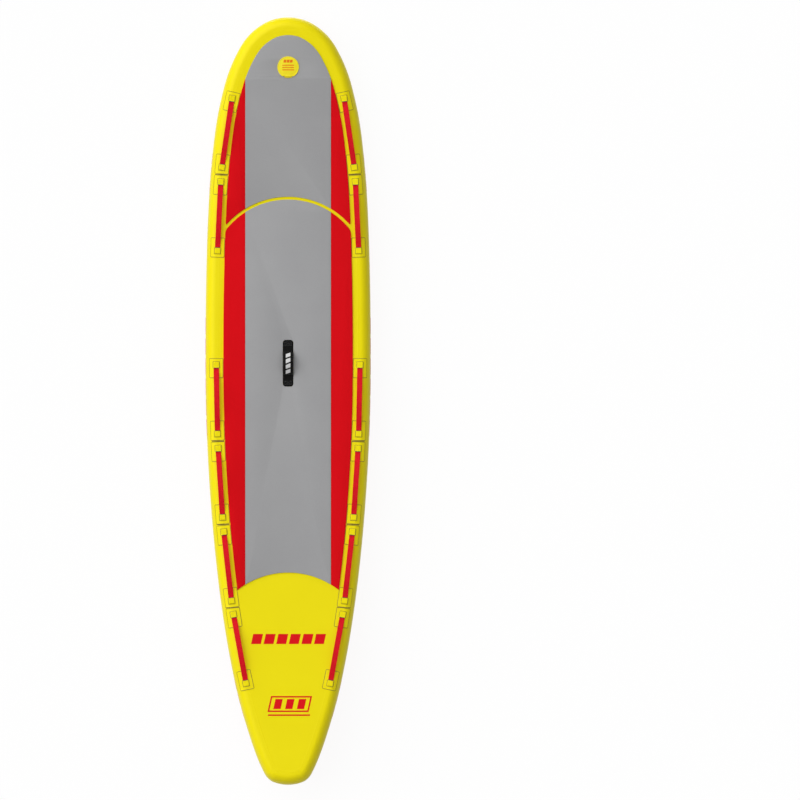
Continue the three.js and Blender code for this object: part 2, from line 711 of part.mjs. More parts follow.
function valveLid() {
  const cutY = -LID_HINGE_OFFSET + earRadius + LID_CUT_CLEARANCE;
  const disc = cylinder(LID_RADIUS, lidUnderside, lidTop, LID_SIDES)
    .intersect(box(-LID_RADIUS, LID_RADIUS, cutY, LID_RADIUS, 0, TOOL_OVERRUN));
  const neck = box(-LID_BARREL_HALF, LID_BARREL_HALF, -LID_HINGE_OFFSET, cutY + LID_THICKNESS,
    hingeZ - LID_THICKNESS / 2, hingeZ + LID_THICKNESS / 2);
  return disc.add(neck)
    .add(cylinderX(LID_BARREL_RADIUS, LID_BARREL_HALF, -LID_HINGE_OFFSET, hingeZ))
    .add(cylinderX(LID_PIN_RADIUS, LID_EAR_HALF - SEAT_GAP, -LID_HINGE_OFFSET, hingeZ));
}

function valveNut() {
  const top = -SKIN_THICKNESS - 2 * SEAT_GAP - VALVE_CLEARANCE;
  const bottom = top - NUT_THICKNESS;
  return cylinder(NUT_RADIUS, bottom, top, NUT_SIDES)
    .subtract(cylinder(CUP_RADIUS + SEAT_GAP, bottom - TOOL_OVERRUN, TOOL_OVERRUN));
}

const springBottom = -CUP_DEPTH + SEAT_GAP;
const buttonUnderside = springBottom + SPRING_HEIGHT + SEAT_GAP;
const buttonTop = buttonUnderside + BUTTON_THICKNESS;

function valvePlunger() {
  const sealTop = -CUP_DEPTH - CUP_FLOOR - SEAT_GAP;
  const sealBottom = sealTop - SEAL_THICKNESS;
  const profile = [[0, sealBottom], [SEAL_RADIUS, sealBottom], [SEAL_RADIUS, sealTop],
    [STEM_RADIUS, sealTop], [STEM_RADIUS, buttonUnderside], [BUTTON_RADIUS, buttonUnderside],
    [BUTTON_RADIUS, buttonTop], [0, buttonTop]].map(([r, z]) => new THREE.Vector2(r, z));
  const geometry = new THREE.LatheGeometry(profile, ROUND_SIDES);
  geometry.rotateX(Math.PI / 2);
  return solid(geometry);
}

// Coil spring round the stem, one unbroken wire

class Helix extends THREE.Curve {
  getPoint(t, target = new THREE.Vector3()) {
    const angle = t * SPRING_TURNS * FULL_TURN;
    const travel = SPRING_HEIGHT - 2 * SPRING_WIRE_RADIUS;
    return target.set(SPRING_RADIUS * Math.cos(angle), SPRING_RADIUS * Math.sin(angle),
      springBottom + SPRING_WIRE_RADIUS + travel * t);
  }
}

function valveSpring() {
  const wire = new THREE.Shape();
  for (let i = 0; i < SPRING_WIRE_SIDES; i++) {
    const angle = i / SPRING_WIRE_SIDES * FULL_TURN;
    const x = SPRING_WIRE_RADIUS * Math.cos(angle);
    const y = SPRING_WIRE_RADIUS * Math.sin(angle);
    if (i === 0) wire.moveTo(x, y);
    else wire.lineTo(x, y);
  }
  wire.closePath();
  return solid(new THREE.ExtrudeGeometry(wire, {
    steps: SPRING_TURNS * SPRING_STEPS_PER_TURN, bevelEnabled: false, extrudePath: new Helix(),
  }));
}

// Reinforcing panel under the nose

function nosePanelGeometry() {
  const layer = hullLayer(SEAT_GAP, SEAT_GAP + NOSE_PANEL_THICKNESS);
  const arcCentre = NOSE_PANEL_ARC_FROM_NOSE - NOSE_PANEL_ARC_RADIUS;
  const back = discPrism(arcCentre, NOSE_PANEL_ARC_RADIUS, PAD_ARC_STEPS * 2);
  return geometryOf(layer.intersect(insetRegion(NOSE_PANEL_INSET, BOARD_LENGTH / 2)).intersect(back));
}

// Tow ring frame: origin on the hull, its Z square to the rising nose and pointing up

const towY = yFromNose(TOW_FROM_NOSE);
const towTilt = slopeAt(hullHeight, towY);
const towOrigin = [0, towY, hullHeight(towY)];
const towPatchFace = 2 * SEAT_GAP + NOSE_PANEL_THICKNESS + PATCH_THICKNESS;
const towBarZ = -towPatchFace - SEAT_GAP - TOW_CLEARANCE - TOW_WIRE_RADIUS;

function inTowFrame(body) {
  return body.rotate([THREE.MathUtils.radToDeg(towTilt), 0, 0]).translate(towOrigin);
}

// Patch with the sewn loop that holds the ring's straight bar

function towPatch() {
  const face = 2 * SEAT_GAP + NOSE_PANEL_THICKNESS;
  const patch = hullLayer(face, face + PATCH_THICKNESS)
    .intersect(prism(circleShape(0, towY, TOW_PATCH_RADIUS), ROUND_SIDES));
  const loopFloor = towBarZ - TOW_WIRE_RADIUS - TOW_CLEARANCE - TOW_LOOP_WALL;
  const loop = inTowFrame(box(-TOW_LOOP_WIDTH / 2, TOW_LOOP_WIDTH / 2,
    -TOW_BAR_OFFSET - TOW_LOOP_LENGTH / 2, -TOW_BAR_OFFSET + TOW_LOOP_LENGTH / 2, loopFloor,
    TOOL_OVERRUN)).intersect(hullLayer(face, TOOL_OVERRUN));
  const eye = inTowFrame(cylinderX(TOW_WIRE_RADIUS + TOW_CLEARANCE, BOARD_WIDTH / 2,
    -TOW_BAR_OFFSET, towBarZ));
  const frontRelief = inTowFrame(box(-TOW_LOOP_WIDTH, TOW_LOOP_WIDTH,
    -TOW_BAR_OFFSET + TOW_WIRE_RADIUS + TOW_CLEARANCE + TOW_LOOP_WALL, TOW_PATCH_RADIUS,
    -TOOL_OVERRUN, -towPatchFace - SEAT_GAP));
  return patch.add(loop.subtract(frontRelief)).subtract(eye);
}

// The ring: a straight bar and a round bow in bent wire

function towRing() {
  const half = TOW_RING_WIDTH / 2 - TOW_WIRE_RADIUS;
  const rise = TOW_RING_LENGTH - 2 * TOW_WIRE_RADIUS;
  const corner = 2 * TOW_WIRE_RADIUS;
  const outline = new THREE.Path();
  outline.moveTo(-half + corner, 0);
  outline.lineTo(half - corner, 0);
  outline.quadraticCurveTo(half, 0, half, corner);
  outline.lineTo(half, rise - half);
  outline.absarc(0, rise - half, half, 0, Math.PI);
  outline.lineTo(-half, corner);
  outline.quadraticCurveTo(-half, 0, -half + corner, 0);
  const loops = Array.from({ length: TOW_WIRE_SIDES }, () => []);
  for (let i = 0; i < TOW_STEPS; i++) {
    const point = outline.getPointAt(i / TOW_STEPS);
    const tangent = outline.getTangentAt(i / TOW_STEPS);
    loops.forEach((loop, k) => {
      const angle = k / TOW_WIRE_SIDES * FULL_TURN;
      const out = TOW_WIRE_RADIUS * Math.cos(angle);
      loop.push(new THREE.Vector3(point.x + tangent.y * out,
        point.y - TOW_BAR_OFFSET - tangent.x * out, towBarZ + TOW_WIRE_RADIUS * Math.sin(angle)));
    });
  }
  return solid(ringSolid(loops));
}

// Fin box: base plate glued to the hull with a slotted channel, open towards the tail

const boxTop = HULL_LEVEL - SEAT_GAP;
const plateFace = boxTop - BOX_PLATE;
const channelFace = plateFace - CHANNEL_HEIGHT;
const boxRearY = yFromNose(BOARD_LENGTH - BOX_REAR_FROM_TAIL);
const channelFrontY = boxRearY + BOX_LENGTH - CHANNEL_SETBACK;
const keyFrontY = channelFrontY - CHANNEL_END_WALL - FIN_CLEARANCE;
const keyTop = plateFace - FIN_CLEARANCE;

function finBox() {
  const plate = prism(roundedRectangle(BOX_WIDTH, BOX_LENGTH, BOX_CORNER), 3)
    .translate([0, boxRearY + BOX_LENGTH / 2, 0])
    .intersect(box(-BOX_WIDTH, BOX_WIDTH, boxRearY - BOX_LENGTH, boxRearY + 2 * BOX_LENGTH,
      plateFace, boxTop));
  const rails = box(-CHANNEL_WIDTH / 2, CHANNEL_WIDTH / 2, boxRearY, channelFrontY, channelFace,
    plateFace + BOX_PLATE / 2);
  const slotEnd = channelFrontY - CHANNEL_END_WALL;
  const wide = KEY_WIDTH / 2 + FIN_CLEARANCE;
  const narrow = FIN_THICKNESS / 2 + FIN_CLEARANCE;
  const keySlot = box(-wide, wide, boxRearY - TOOL_OVERRUN, slotEnd,
    keyTop - KEY_HEIGHT - FIN_CLEARANCE, plateFace);
  const neckSlot = box(-narrow, narrow, boxRearY - TOOL_OVERRUN, slotEnd,
    channelFace - TOOL_OVERRUN, plateFace - KEY_HEIGHT / 2);
  return plate.add(rails).subtract(keySlot).subtract(neckSlot);
}

// The fin: key and neck in the slot, a raked blade below, and a tongue that carries the lever

const neckRearY = boxRearY + FIN_CLEARANCE;
const leverPivotY = boxRearY - TONGUE_LENGTH / 2;
const leverZ = keyTop - KEY_HEIGHT - TONGUE_HEIGHT / 2;

function fin() {
  const half = FIN_THICKNESS / 2;
  const keyUnderside = keyTop - KEY_HEIGHT;
  const key = box(-KEY_WIDTH / 2, KEY_WIDTH / 2, neckRearY, keyFrontY, keyUnderside, keyTop);
  const neck = box(-half, half, neckRearY, keyFrontY, channelFace, keyUnderside + KEY_HEIGHT / 2);
  const tongue = box(-TONGUE_THICKNESS / 2, TONGUE_THICKNESS / 2, boxRearY - TONGUE_LENGTH,
    neckRearY + TONGUE_LENGTH, leverZ - TONGUE_HEIGHT / 2, leverZ + TONGUE_HEIGHT / 2);
  const eye = cylinderX(LEVER_PIN_RADIUS + FIN_CLEARANCE / 2, TONGUE_LENGTH, leverPivotY, leverZ);
  return key.add(neck).add(solid(finBlade())).add(tongue).subtract(eye);
}

function finBlade() {
  const rootRear = neckRearY + FIN_ROOT_BACK;
  const rootChord = keyFrontY - rootRear;
  const rootMiddle = (keyFrontY + rootRear) / 2;
  const top = channelFace + CHANNEL_HEIGHT / 2;
  const points = [];
  for (let j = 0; j <= FIN_LEVELS; j++) {
    const share = j / FIN_LEVELS;
    const chord = rootChord * (1 - (1 - FIN_TIP_CHORD_SHARE) * share ** FIN_TAPER_POWER_SHARE);
    const middle = rootMiddle - FIN_RAKE * share ** FIN_RAKE_POWER_SHARE;
    const thickness = THREE.MathUtils.lerp(FIN_THICKNESS, FIN_TIP_THICKNESS, share) / 2;
    const z = THREE.MathUtils.lerp(top, 0, share);
    for (let i = 0; i < 2 * FIN_SECTION_STEPS; i++) {
      const angle = i / (2 * FIN_SECTION_STEPS) * FULL_TURN;
      points.push(new THREE.Vector3(thickness * Math.sin(angle),
        middle + chord / 2 * Math.cos(angle), z));
    }
  }
  const size = 2 * FIN_SECTION_STEPS;
  const triangles = wallTriangles(FIN_LEVELS + 1, size, false);
  for (let i = 1; i < size - 1; i++) {
    triangles.push([0, i + 1, i]);
    const end = FIN_LEVELS * size;
    triangles.push([end, end + i, end + i + 1]);
  }
  return closedGeometry(points, triangles);
}

// Thumb lever behind the fin that locks it in the box

function finLever() {
  const halfWidth = LEVER_WIDTH / 2;
  const radius = LEVER_HEIGHT / 2;
  const frontY = leverPivotY + radius;
  const rearY = boxRearY - LEVER_LENGTH;
  const side = new THREE.Shape();
  side.absarc(frontY - radius, 0, radius, -Math.PI / 2, Math.PI / 2);
  side.absarc(rearY + radius, 0, radius, Math.PI / 2, 1.5 * Math.PI);
  const bar = new THREE.ExtrudeGeometry(side, { depth: LEVER_WIDTH, bevelEnabled: false, curveSegments: 8 });
  bar.translate(0, 0, -halfWidth);
  bar.applyMatrix4(new THREE.Matrix4().makeBasis(
    new THREE.Vector3(0, 1, 0), new THREE.Vector3(0, 0, 1), new THREE.Vector3(1, 0, 0)));
  bar.translate(0, 0, leverZ);
  const slotHalf = TONGUE_THICKNESS / 2 + FIN_CLEARANCE;
  const slot = box(-slotHalf, slotHalf, frontY - LEVER_SLOT_LENGTH, frontY + TOOL_OVERRUN,
    leverZ - LEVER_HEIGHT, leverZ + LEVER_HEIGHT);
  const pin = cylinderX(LEVER_PIN_RADIUS, halfWidth - SEAT_GAP, leverPivotY, leverZ);
  return solid(bar).subtract(slot).add(pin);
}

// The assembly

const board = new THREE.Group();

function addPiece(name, body, color, roughness = 0.5, metalness = 0) {
  const geometry = body instanceof THREE.BufferGeometry ? body : geometryOf(body);
  const mesh = new THREE.Mesh(geometry, new THREE.MeshStandardMaterial({ color, roughness, metalness }));
  mesh.name = name;
  board.add(mesh);
}

addPiece('drop_stitch_core', coreGeometry(), WHITE, 0.8);
addPiece('deck_skin', deckSkinGeometry(), YELLOW, 0.4);
addPiece('hull_skin', hullSkinGeometry(), RED, 0.4);
addPiece('rail_band', railBandGeometry(), YELLOW, 0.4);
addPiece('nose_panel', nosePanelGeometry(), RED, 0.4);

for (const [name, body] of Object.entries(padGeometries())) {
  addPiece(name, body, name.endsWith('centre') ? GREY : RED, 0.9);
}

const strapPatchLayer = deckLayer(SEAT_GAP, SEAT_GAP + PATCH_THICKNESS);
const strapLidLayer = deckLayer(SEAT_GAP, TOOL_OVERRUN);
strapCentreShares.forEach((share, i) => {
  const parts = strapGeometries(share * BOARD_LENGTH, strapPatchLayer, strapLidLayer);
  for (const [part, geometry] of Object.entries(parts)) {
    const color = part === 'webbing' ? RED : YELLOW;
    addPiece(`grab_strap_${part}_right_${i + 1}`, geometry, color, 0.6);
    addPiece(`grab_strap_${part}_left_${i + 1}`, mirrored(geometry), color, 0.6);
  }
});

for (const [name, geometry] of Object.entries(handleGeometries())) {
  addPiece(name, geometry, BLACK, 0.8);
}

addPiece('valve_housing', inValveFrame(valveHousing()), YELLOW, 0.4);
addPiece('valve_lid', inValveFrame(valveLid()), YELLOW, 0.4);
addPiece('valve_nut', inValveFrame(valveNut()), WHITE, 0.5);
addPiece('valve_plunger', inValveFrame(valvePlunger()), WHITE, 0.5);
addPiece('valve_spring', inValveFrame(valveSpring()), STEEL, 0.3, 1);

addPiece('tow_ring_patch', towPatch(), RED, 0.5);
addPiece('tow_ring', inTowFrame(towRing()), STEEL, 0.25, 1);

addPiece('fin_box', finBox(), CHARCOAL, 0.5);
addPiece('fin', fin(), BLACK, 0.4);
addPiece('fin_lock_lever', finLever(), BLACK, 0.4);

export default board;
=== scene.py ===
# A twelve-foot inflatable lifeguard rescue board, dressed for the photograph's deck view.
# Lengths are written in millimetres and turned to metres when a mesh is made.
# +Y points to the nose, +X to the right of someone standing on the deck, +Z up.
import math

import bmesh
import bpy
import numpy as np
from mathutils import Matrix, Vector
from mathutils.geometry import tessellate_polygon


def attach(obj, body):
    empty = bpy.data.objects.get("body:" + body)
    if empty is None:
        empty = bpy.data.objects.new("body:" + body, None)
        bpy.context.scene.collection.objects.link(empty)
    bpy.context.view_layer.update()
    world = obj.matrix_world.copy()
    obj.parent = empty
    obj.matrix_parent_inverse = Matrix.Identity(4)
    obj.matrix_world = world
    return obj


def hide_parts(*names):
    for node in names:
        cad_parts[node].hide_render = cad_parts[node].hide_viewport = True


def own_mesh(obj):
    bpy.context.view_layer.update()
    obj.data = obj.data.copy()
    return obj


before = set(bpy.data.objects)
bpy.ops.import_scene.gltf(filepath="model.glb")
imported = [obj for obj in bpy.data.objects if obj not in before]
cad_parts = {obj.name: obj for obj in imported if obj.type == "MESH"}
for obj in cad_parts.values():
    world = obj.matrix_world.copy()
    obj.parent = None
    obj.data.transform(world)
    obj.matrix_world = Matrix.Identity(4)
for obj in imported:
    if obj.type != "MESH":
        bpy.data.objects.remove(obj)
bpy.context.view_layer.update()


# The studio, in metres: a pale floor that lies against the fin tip and the nose, as the board rests,
# a camera square above the deck, and soft light from the upper left.
PIXEL = 0.004766  # metres of board in one pixel of the picture
PICTURE_WIDTH = 800
CAMERA_PLACE = (111.9 * PIXEL, 1.05 * PIXEL, 12)
CAMERA_REACH = 60
FLOOR_REACH = 14
FLOOR_SLOPE = 0.0402  # rise per metre towards the nose
FLOOR_TOUCHES_FIN_AT = -1.4556
FLOOR_COLOUR = (0.97, 0.97, 0.97, 1)
FLOOR_WHITE = 0.93  # share of plain white in what the camera sees of the floor
SKY_STRENGTH = 0.4
LAMPS = (  # name, side that it shines from, strength, degrees that it is spread over
    ("key_light", (-0.9, 0.68, 0.95), 2.64, 80),
    ("fill_light", (0.7, -0.6, 0.9), 0.12, 60),
    ("under_light", (0.05, 0.62, -1.0), 1.9, 40),
)


def node(tree, kind, inputs=None, **settings):
    made = tree.nodes.new(kind)
    for key, value in settings.items():
        setattr(made, key, value)
    for key, value in (inputs or {}).items():
        if isinstance(value, bpy.types.NodeSocket):
            tree.links.new(value, made.inputs[key])
        else:
            made.inputs[key].default_value = value
    return made


def maths(tree, operation, one, other):
    return node(tree, "ShaderNodeMath", {0: one, 1: other}, operation=operation).outputs[0]


def set_up(name, data):
    """A new object in the scene, from its mesh, curve, lamp or camera."""
    made = bpy.data.objects.new(name, data)
    bpy.context.scene.collection.objects.link(made)
    return made


def white_for_the_eye(tree, share, other, plain_kind):
    """Plain white for the camera, for gloss and for glass, and another shader for the rest."""
    path = node(tree, "ShaderNodeLightPath").outputs
    seen = maths(tree, "MAXIMUM", path["Is Camera Ray"], path["Is Glossy Ray"])
    seen = maths(tree, "MAXIMUM", seen, path["Is Transmission Ray"])
    part = maths(tree, "MULTIPLY", seen, share)
    plain = node(tree, plain_kind, {"Color": (1, 1, 1, 1), "Strength": 1.0})
    return node(tree, "ShaderNodeMixShader", {0: part, 1: other, 2: plain.outputs[0]}).outputs[0]


def lay_floor():
    """The floor is clear from below and lets the light through, so the hull can be looked at."""
    far = FLOOR_REACH
    corners = [(x, y, FLOOR_SLOPE * (y - FLOOR_TOUCHES_FIN_AT))
               for x, y in ((-far, -far), (far, -far), (far, far), (-far, far))]
    mesh = bpy.data.meshes.new("studio_floor")
    mesh.from_pydata(corners, [], [(0, 1, 2, 3)])
    floor = set_up("studio_floor", mesh)
    material = bpy.data.materials.new("studio_floor")
    material.use_nodes = True
    tree = material.node_tree
    tree.nodes.remove(tree.nodes["Principled BSDF"])
    paper = node(tree, "ShaderNodeBsdfDiffuse", {"Color": FLOOR_COLOUR})
    shown = white_for_the_eye(tree, FLOOR_WHITE, paper.outputs[0], "ShaderNodeEmission")
    path = node(tree, "ShaderNodeLightPath").outputs
    light = maths(tree, "MAXIMUM", path["Is Shadow Ray"], path["Is Diffuse Ray"])
    below = node(tree, "ShaderNodeNewGeometry").outputs["Backfacing"]
    passes = maths(tree, "MAXIMUM", light, below)
    clear = node(tree, "ShaderNodeBsdfTransparent")
    one_sided = node(tree, "ShaderNodeMixShader", {0: passes, 1: shown, 2: clear.outputs[0]})
    tree.links.new(one_sided.outputs[0], tree.nodes["Material Output"].inputs["Surface"])
    mesh.materials.append(material)


def light_studio():
    world = bpy.data.worlds.new("studio_sky")
    bpy.context.scene.world = world
    world.use_nodes = True
    tree = world.node_tree
    sky = tree.nodes["Background"]
    sky.inputs["Color"].default_value = (1, 1, 1, 1)
    sky.inputs["Strength"].default_value = SKY_STRENGTH
    shown = white_for_the_eye(tree, 1.0, sky.outputs[0], "ShaderNodeBackground")
    tree.links.new(shown, tree.nodes["World Output"].inputs["Surface"])
    for name, towards, strength, spread in LAMPS:
        lamp = bpy.data.lights.new(name, "SUN")
        lamp.energy = strength
        lamp.angle = math.radians(spread)
        holder = set_up(name, lamp)
        holder.rotation_mode = "QUATERNION"
        holder.rotation_quaternion = Vector(towards).to_track_quat("Z", "Y")


def set_camera():
    lens = bpy.data.cameras.new("deck_camera")
    lens.type = "ORTHO"
    lens.ortho_scale = PICTURE_WIDTH * PIXEL
    lens.clip_end = CAMERA_REACH
    camera = set_up("deck_camera", lens)
    camera.location = CAMERA_PLACE
    bpy.context.scene.camera = camera
    bpy.context.scene.view_settings.view_transform = "Standard"


lay_floor()
light_studio()
set_camera()


# The inflated body: a pillow of woven cloth with straight yarns inside, wrapped in coated fabric.
# A yellow band goes round the rails, a red hull skin comes 20 mm up the sides, and a yellow skin
# covers the deck inside the band. All of them follow one outline, one rail section and one kick.
BOARD_LENGTH = 3658
BOARD_WIDTH = 787
BOARD_THICKNESS = 140
HULL_LEVEL = 115  # height of the flat hull over the fin's tip
RAIL_DEPTH = 47  # how far in from the outline the rounded rail reaches
RAIL_LAP = 60  # how far in the rail band reaches over the deck
SKIN = 1.4
SEAT = 0.3  # gap for the glue under a piece
HULL_WRAP = 20
KICK_LENGTH = 479
DECK_KICK = (27, 1.2)  # rise at the nose, and the power that it grows with
HULL_KICK = (53.5, 1.62)
OUTLINE_SHARES = [  # share of the length from the nose, share of the half width
    (0, 0), (0.0039, 0.208), (0.0152, 0.39), (0.0302, 0.525), (0.0498, 0.632), (0.0758, 0.733),
    (0.1084, 0.814), (0.141, 0.8725), (0.2061, 0.9385), (0.2713, 0.9735), (0.3518, 0.994),
    (0.4341, 1), (0.4993, 0.9955), (0.5644, 0.9755), (0.6296, 0.939), (0.6947, 0.8865),
    (0.7599, 0.8155), (0.825, 0.7205), (0.8902, 0.5915), (0.9553, 0.406), (0.9788, 0.3155),
    (0.9892, 0.262), (0.995, 0.204), (0.9981, 0.129), (0.9995, 0.065), (1, 0),
]
STATIONS_PER_SHARE = 8
BAND_ANGLES = [90, 84, 77, 70, 62, 54, 45, 36, 27, 18, 9, 0, -9, -18, -27, -36]
HULL_ANGLES = [-52, -59, -67, -75, -83, -90]


def from_nose(distance):
    return BOARD_LENGTH / 2 - distance


def board_outline():
    """Points round the plan, clockwise from the nose tip, and the inward normal at each."""
    right = [(across * BOARD_WIDTH / 2, from_nose(along * BOARD_LENGTH))
             for along, across in OUTLINE_SHARES]
    here = np.array(right + [(-x, y) for x, y in right[-2:0:-1]])
    before, after, beyond = (np.roll(here, shift, 0) for shift in (1, -1, -2))
    gap0, gap1, gap2 = (np.sum((a - b) ** 2, axis=1)[:, None] ** 0.25
                        for a, b in ((here, before), (after, here), (beyond, after)))
    leave = (here - before) / gap0 - (after - before) / (gap0 + gap1) + (after - here) / gap1
    arrive = (after - here) / gap1 - (beyond - here) / (gap1 + gap2) + (beyond - after) / gap2
    leave, arrive = leave * gap1, arrive * gap1
    bend = -3 * here + 3 * after - 2 * leave - arrive
    twist = 2 * here - 2 * after + leave + arrive
    share = (np.arange(STATIONS_PER_SHARE) / STATIONS_PER_SHARE)[None, :, None]
    here, leave, bend, twist = (part[:, None] for part in (here, leave, bend, twist))
    places = (here + leave * share + bend * share**2 + twist * share**3).reshape(-1, 2)
    slopes = (leave + 2 * bend * share + 3 * twist * share**2).reshape(-1, 2)
    slopes /= np.linalg.norm(slopes, axis=1)[:, None]
    return places, np.stack([slopes[:, 1], -slopes[:, 0]], axis=1)


OUTLINE, INWARD = board_outline()
COUNT = len(OUTLINE)
HALF = COUNT // 2 + 1  # points down one side, nose and tail among them


def kick(y, rise):
    share = np.maximum(0, (np.asarray(y, float) - from_nose(KICK_LENGTH)) / KICK_LENGTH)
    return rise[0] * share ** rise[1]


def deck_height(y):
    return HULL_LEVEL + BOARD_THICKNESS + kick(y, DECK_KICK)


def hull_height(y):
    return HULL_LEVEL + kick(y, HULL_KICK)


def round_rail(lift, degrees, inset=None, edge=OUTLINE, inward=INWARD):
    """Corners at one angle of the rail's section, from points of the outline and their normals."""
    angle = math.radians(degrees)
    depth = RAIL_DEPTH - (RAIL_DEPTH + lift) * math.cos(angle) if inset is None else inset
    plan = edge + inward * depth
    top, bottom = deck_height(plan[:, 1]), hull_height(plan[:, 1])
    z = (top + bottom) / 2 + ((top - bottom) / 2 + lift) * math.sin(angle)
    return np.column_stack([plan, z])


def wrap_angle(extra=0):
    return math.degrees(math.asin((HULL_WRAP + extra - BOARD_THICKNESS / 2) / (BOARD_THICKNESS / 2)))


def loop_walls(loops, size, closed=False):
    faces = []
    for j in range(loops if closed else loops - 1):
        low, high = j * size, (j + 1) % loops * size
        faces += [(low + i, low + (i + 1) % size, high + (i + 1) % size, high + i) for i in range(size)]
    return faces


def side_to_side(start, size):
    """Closes a mirrored loop with strips from its left side to its right side."""
    faces = []
    for i in range(size // 2):
        left, next_left = (size - i) % size, size - i - 1
        strip = [start + i, start + i + 1, start + next_left, start + left]
        faces.append(tuple(dict.fromkeys(strip)))
    return [face for face in faces if len(face) > 2]


def paint(red, green, blue):
    """A colour as read off a screen, from 0 to 255, as the linear values that shaders take."""
    shares = [value / 255 for value in (red, green, blue)]
    return tuple(s / 12.92 if s <= 0.04045 else ((s + 0.055) / 1.055) ** 2.4 for s in shares) + (1.0,)


class Finish:
    """A new material, with short ways to add the nodes that its looks are made from."""

    def __init__(self, name, roughness=0.5, gloss=0.5, metal=0.0, own_map=None):
        self.material = bpy.data.materials.new(name)
        self.material.use_nodes = True
        self.tree = self.material.node_tree
        self.surface = self.tree.nodes["Principled BSDF"].inputs
        for socket, value in ("Roughness", roughness), ("Specular IOR Level", gloss), ("Metallic", metal):
            self.surface[socket].default_value = value
        self.place = self.add("UVMap", "UV", uv_map=own_map) if own_map else self.add("TexCoord", "Object")

    def add(self, kind, output, inputs=None, **settings):
        return node(self.tree, f"ShaderNode{kind}", inputs, **settings).outputs[output]

    def pattern(self, kind, output, scale, settings=None, **inputs):
        inputs = {name.capitalize(): value for name, value in inputs.items()}
        return self.add(f"Tex{kind}", output, {"Vector": self.place, "Scale": scale, **inputs},
                        **(settings or {}))

    def noise(self, scale, **inputs):
        return self.pattern("Noise", "Fac", scale, **inputs)

    def cells(self, scale):
        return self.pattern("Voronoi", "Distance", scale)

    def waves(self, direction, scale, **inputs):
        settings = {"wave_type": "BANDS", "bands_direction": direction}
        return self.pattern("Wave", "Fac", scale, settings, **inputs)

    def spread(self, pattern, low, high, first, last):
        """Turns what a pattern holds from low to high into first to last."""
        inputs = {"Value": pattern, "From Min": low, "From Max": high, "To Min": first, "To Max": last}
        return self.add("MapRange", 0, inputs)

    def join(self, value, socket):
        self.tree.links.new(value, self.surface[socket])

    def colour(self, share, one, other):
        self.join(self.add("Mix", 2, {"Factor": share, 6: one, 7: other}, data_type="RGBA"), "Base Color")

    def bump(self, height, strength, distance, invert=False):
        inputs = {"Height": height, "Strength": strength, "Distance": distance}
        self.join(self.add("Bump", 0, inputs, invert=invert), "Normal")


def coated_fabric(name, colour, shade, roughness=0.36, gloss=0.14):
    """Vinyl-coated cloth: the base cloth's threads print faintly through a satin coat."""
    coat = Finish(name, gloss=gloss)
    clouds = coat.noise(3.2, detail=5, roughness=0.62)
    scuffs = coat.noise(70, detail=8, roughness=0.7, distortion=0.6)
    threads = [coat.waves(direction, 260, distortion=0.4, detail=0) for direction in ("X", "Y")]
    cloth = maths(coat.tree, "MULTIPLY", *threads)
    uneven = maths(coat.tree, "ADD", cloth, maths(coat.tree, "MULTIPLY", clouds, 14))
    coat.colour(coat.spread(clouds, 0.35, 0.75, 0, 0.22), colour, shade)
    coat.join(coat.spread(scuffs, 0.3, 0.72, roughness - 0.05, roughness + 0.12), "Roughness")
    coat.bump(uneven, strength=0.16, distance=0.00025)
    return coat.material


def shape_mesh(name, corners, faces):
    """A mesh in metres from corners in millimetres."""
    mesh = bpy.data.meshes.new(name)
    mesh.from_pydata([tuple(float(value) / 1000 for value in corner) for corner in corners], [], faces)
    return mesh


def piece(name, shape, material, instead_of=None, body="board", sharp=32):
    """One piece from its corners and faces, or from a mesh, with its faces turned out."""
    mesh = shape if isinstance(shape, bpy.types.Mesh) else shape_mesh(name, *shape)
    bm = bmesh.new()
    bm.from_mesh(mesh)
    bmesh.ops.remove_doubles(bm, verts=bm.verts, dist=1e-6)
    bmesh.ops.dissolve_degenerate(bm, edges=bm.edges, dist=1e-7)
    bmesh.ops.recalc_face_normals(bm, faces=bm.faces)
    bm.to_mesh(mesh)
    bm.free()
    mesh.polygons.foreach_set("use_smooth", [True] * len(mesh.polygons))
    mesh.set_sharp_from_angle(angle=math.radians(sharp))
    mesh.materials.clear()
    mesh.materials.append(material)
    made = set_up(name, mesh)
    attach(made, body)
    if instead_of:
        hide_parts(instead_of)
    return made


yellow_fabric = coated_fabric("yellow_coated_fabric", paint(238, 222, 1), paint(227, 209, 1))
red_fabric = coated_fabric("red_coated_fabric", paint(212, 6, 17), paint(196, 5, 13))


def make_body():
    band = [*BAND_ANGLES, wrap_angle(SEAT)]
    loops = [round_rail(0, 90, RAIL_LAP), *(round_rail(0, a) for a in band),
             *(round_rail(-SKIN, a) for a in reversed(band)), round_rail(-SKIN, 90, RAIL_LAP)]
    piece("rail_band_fabric", (np.vstack(loops), loop_walls(len(loops), COUNT, True)), yellow_fabric,
          "rail_band")
    under = [wrap_angle(), *HULL_ANGLES]
    loops = [*(round_rail(0, a) for a in reversed(under)), *(round_rail(-SKIN, a) for a in under)]
    faces = loop_walls(len(loops), COUNT) + side_to_side(0, COUNT)
    faces += side_to_side((len(loops) - 1) * COUNT, COUNT)
    piece("hull_fabric", (np.vstack(loops), faces), red_fabric, "hull_skin")


make_body()


# Woven drop-stitch core: two white cloth faces tied by thousands of yarns, sealed round the sides.
# It is closed in by the skins, so the solid stays as it is and takes a woven cloth finish.
CLOTH_PITCH = 0.004  # metres


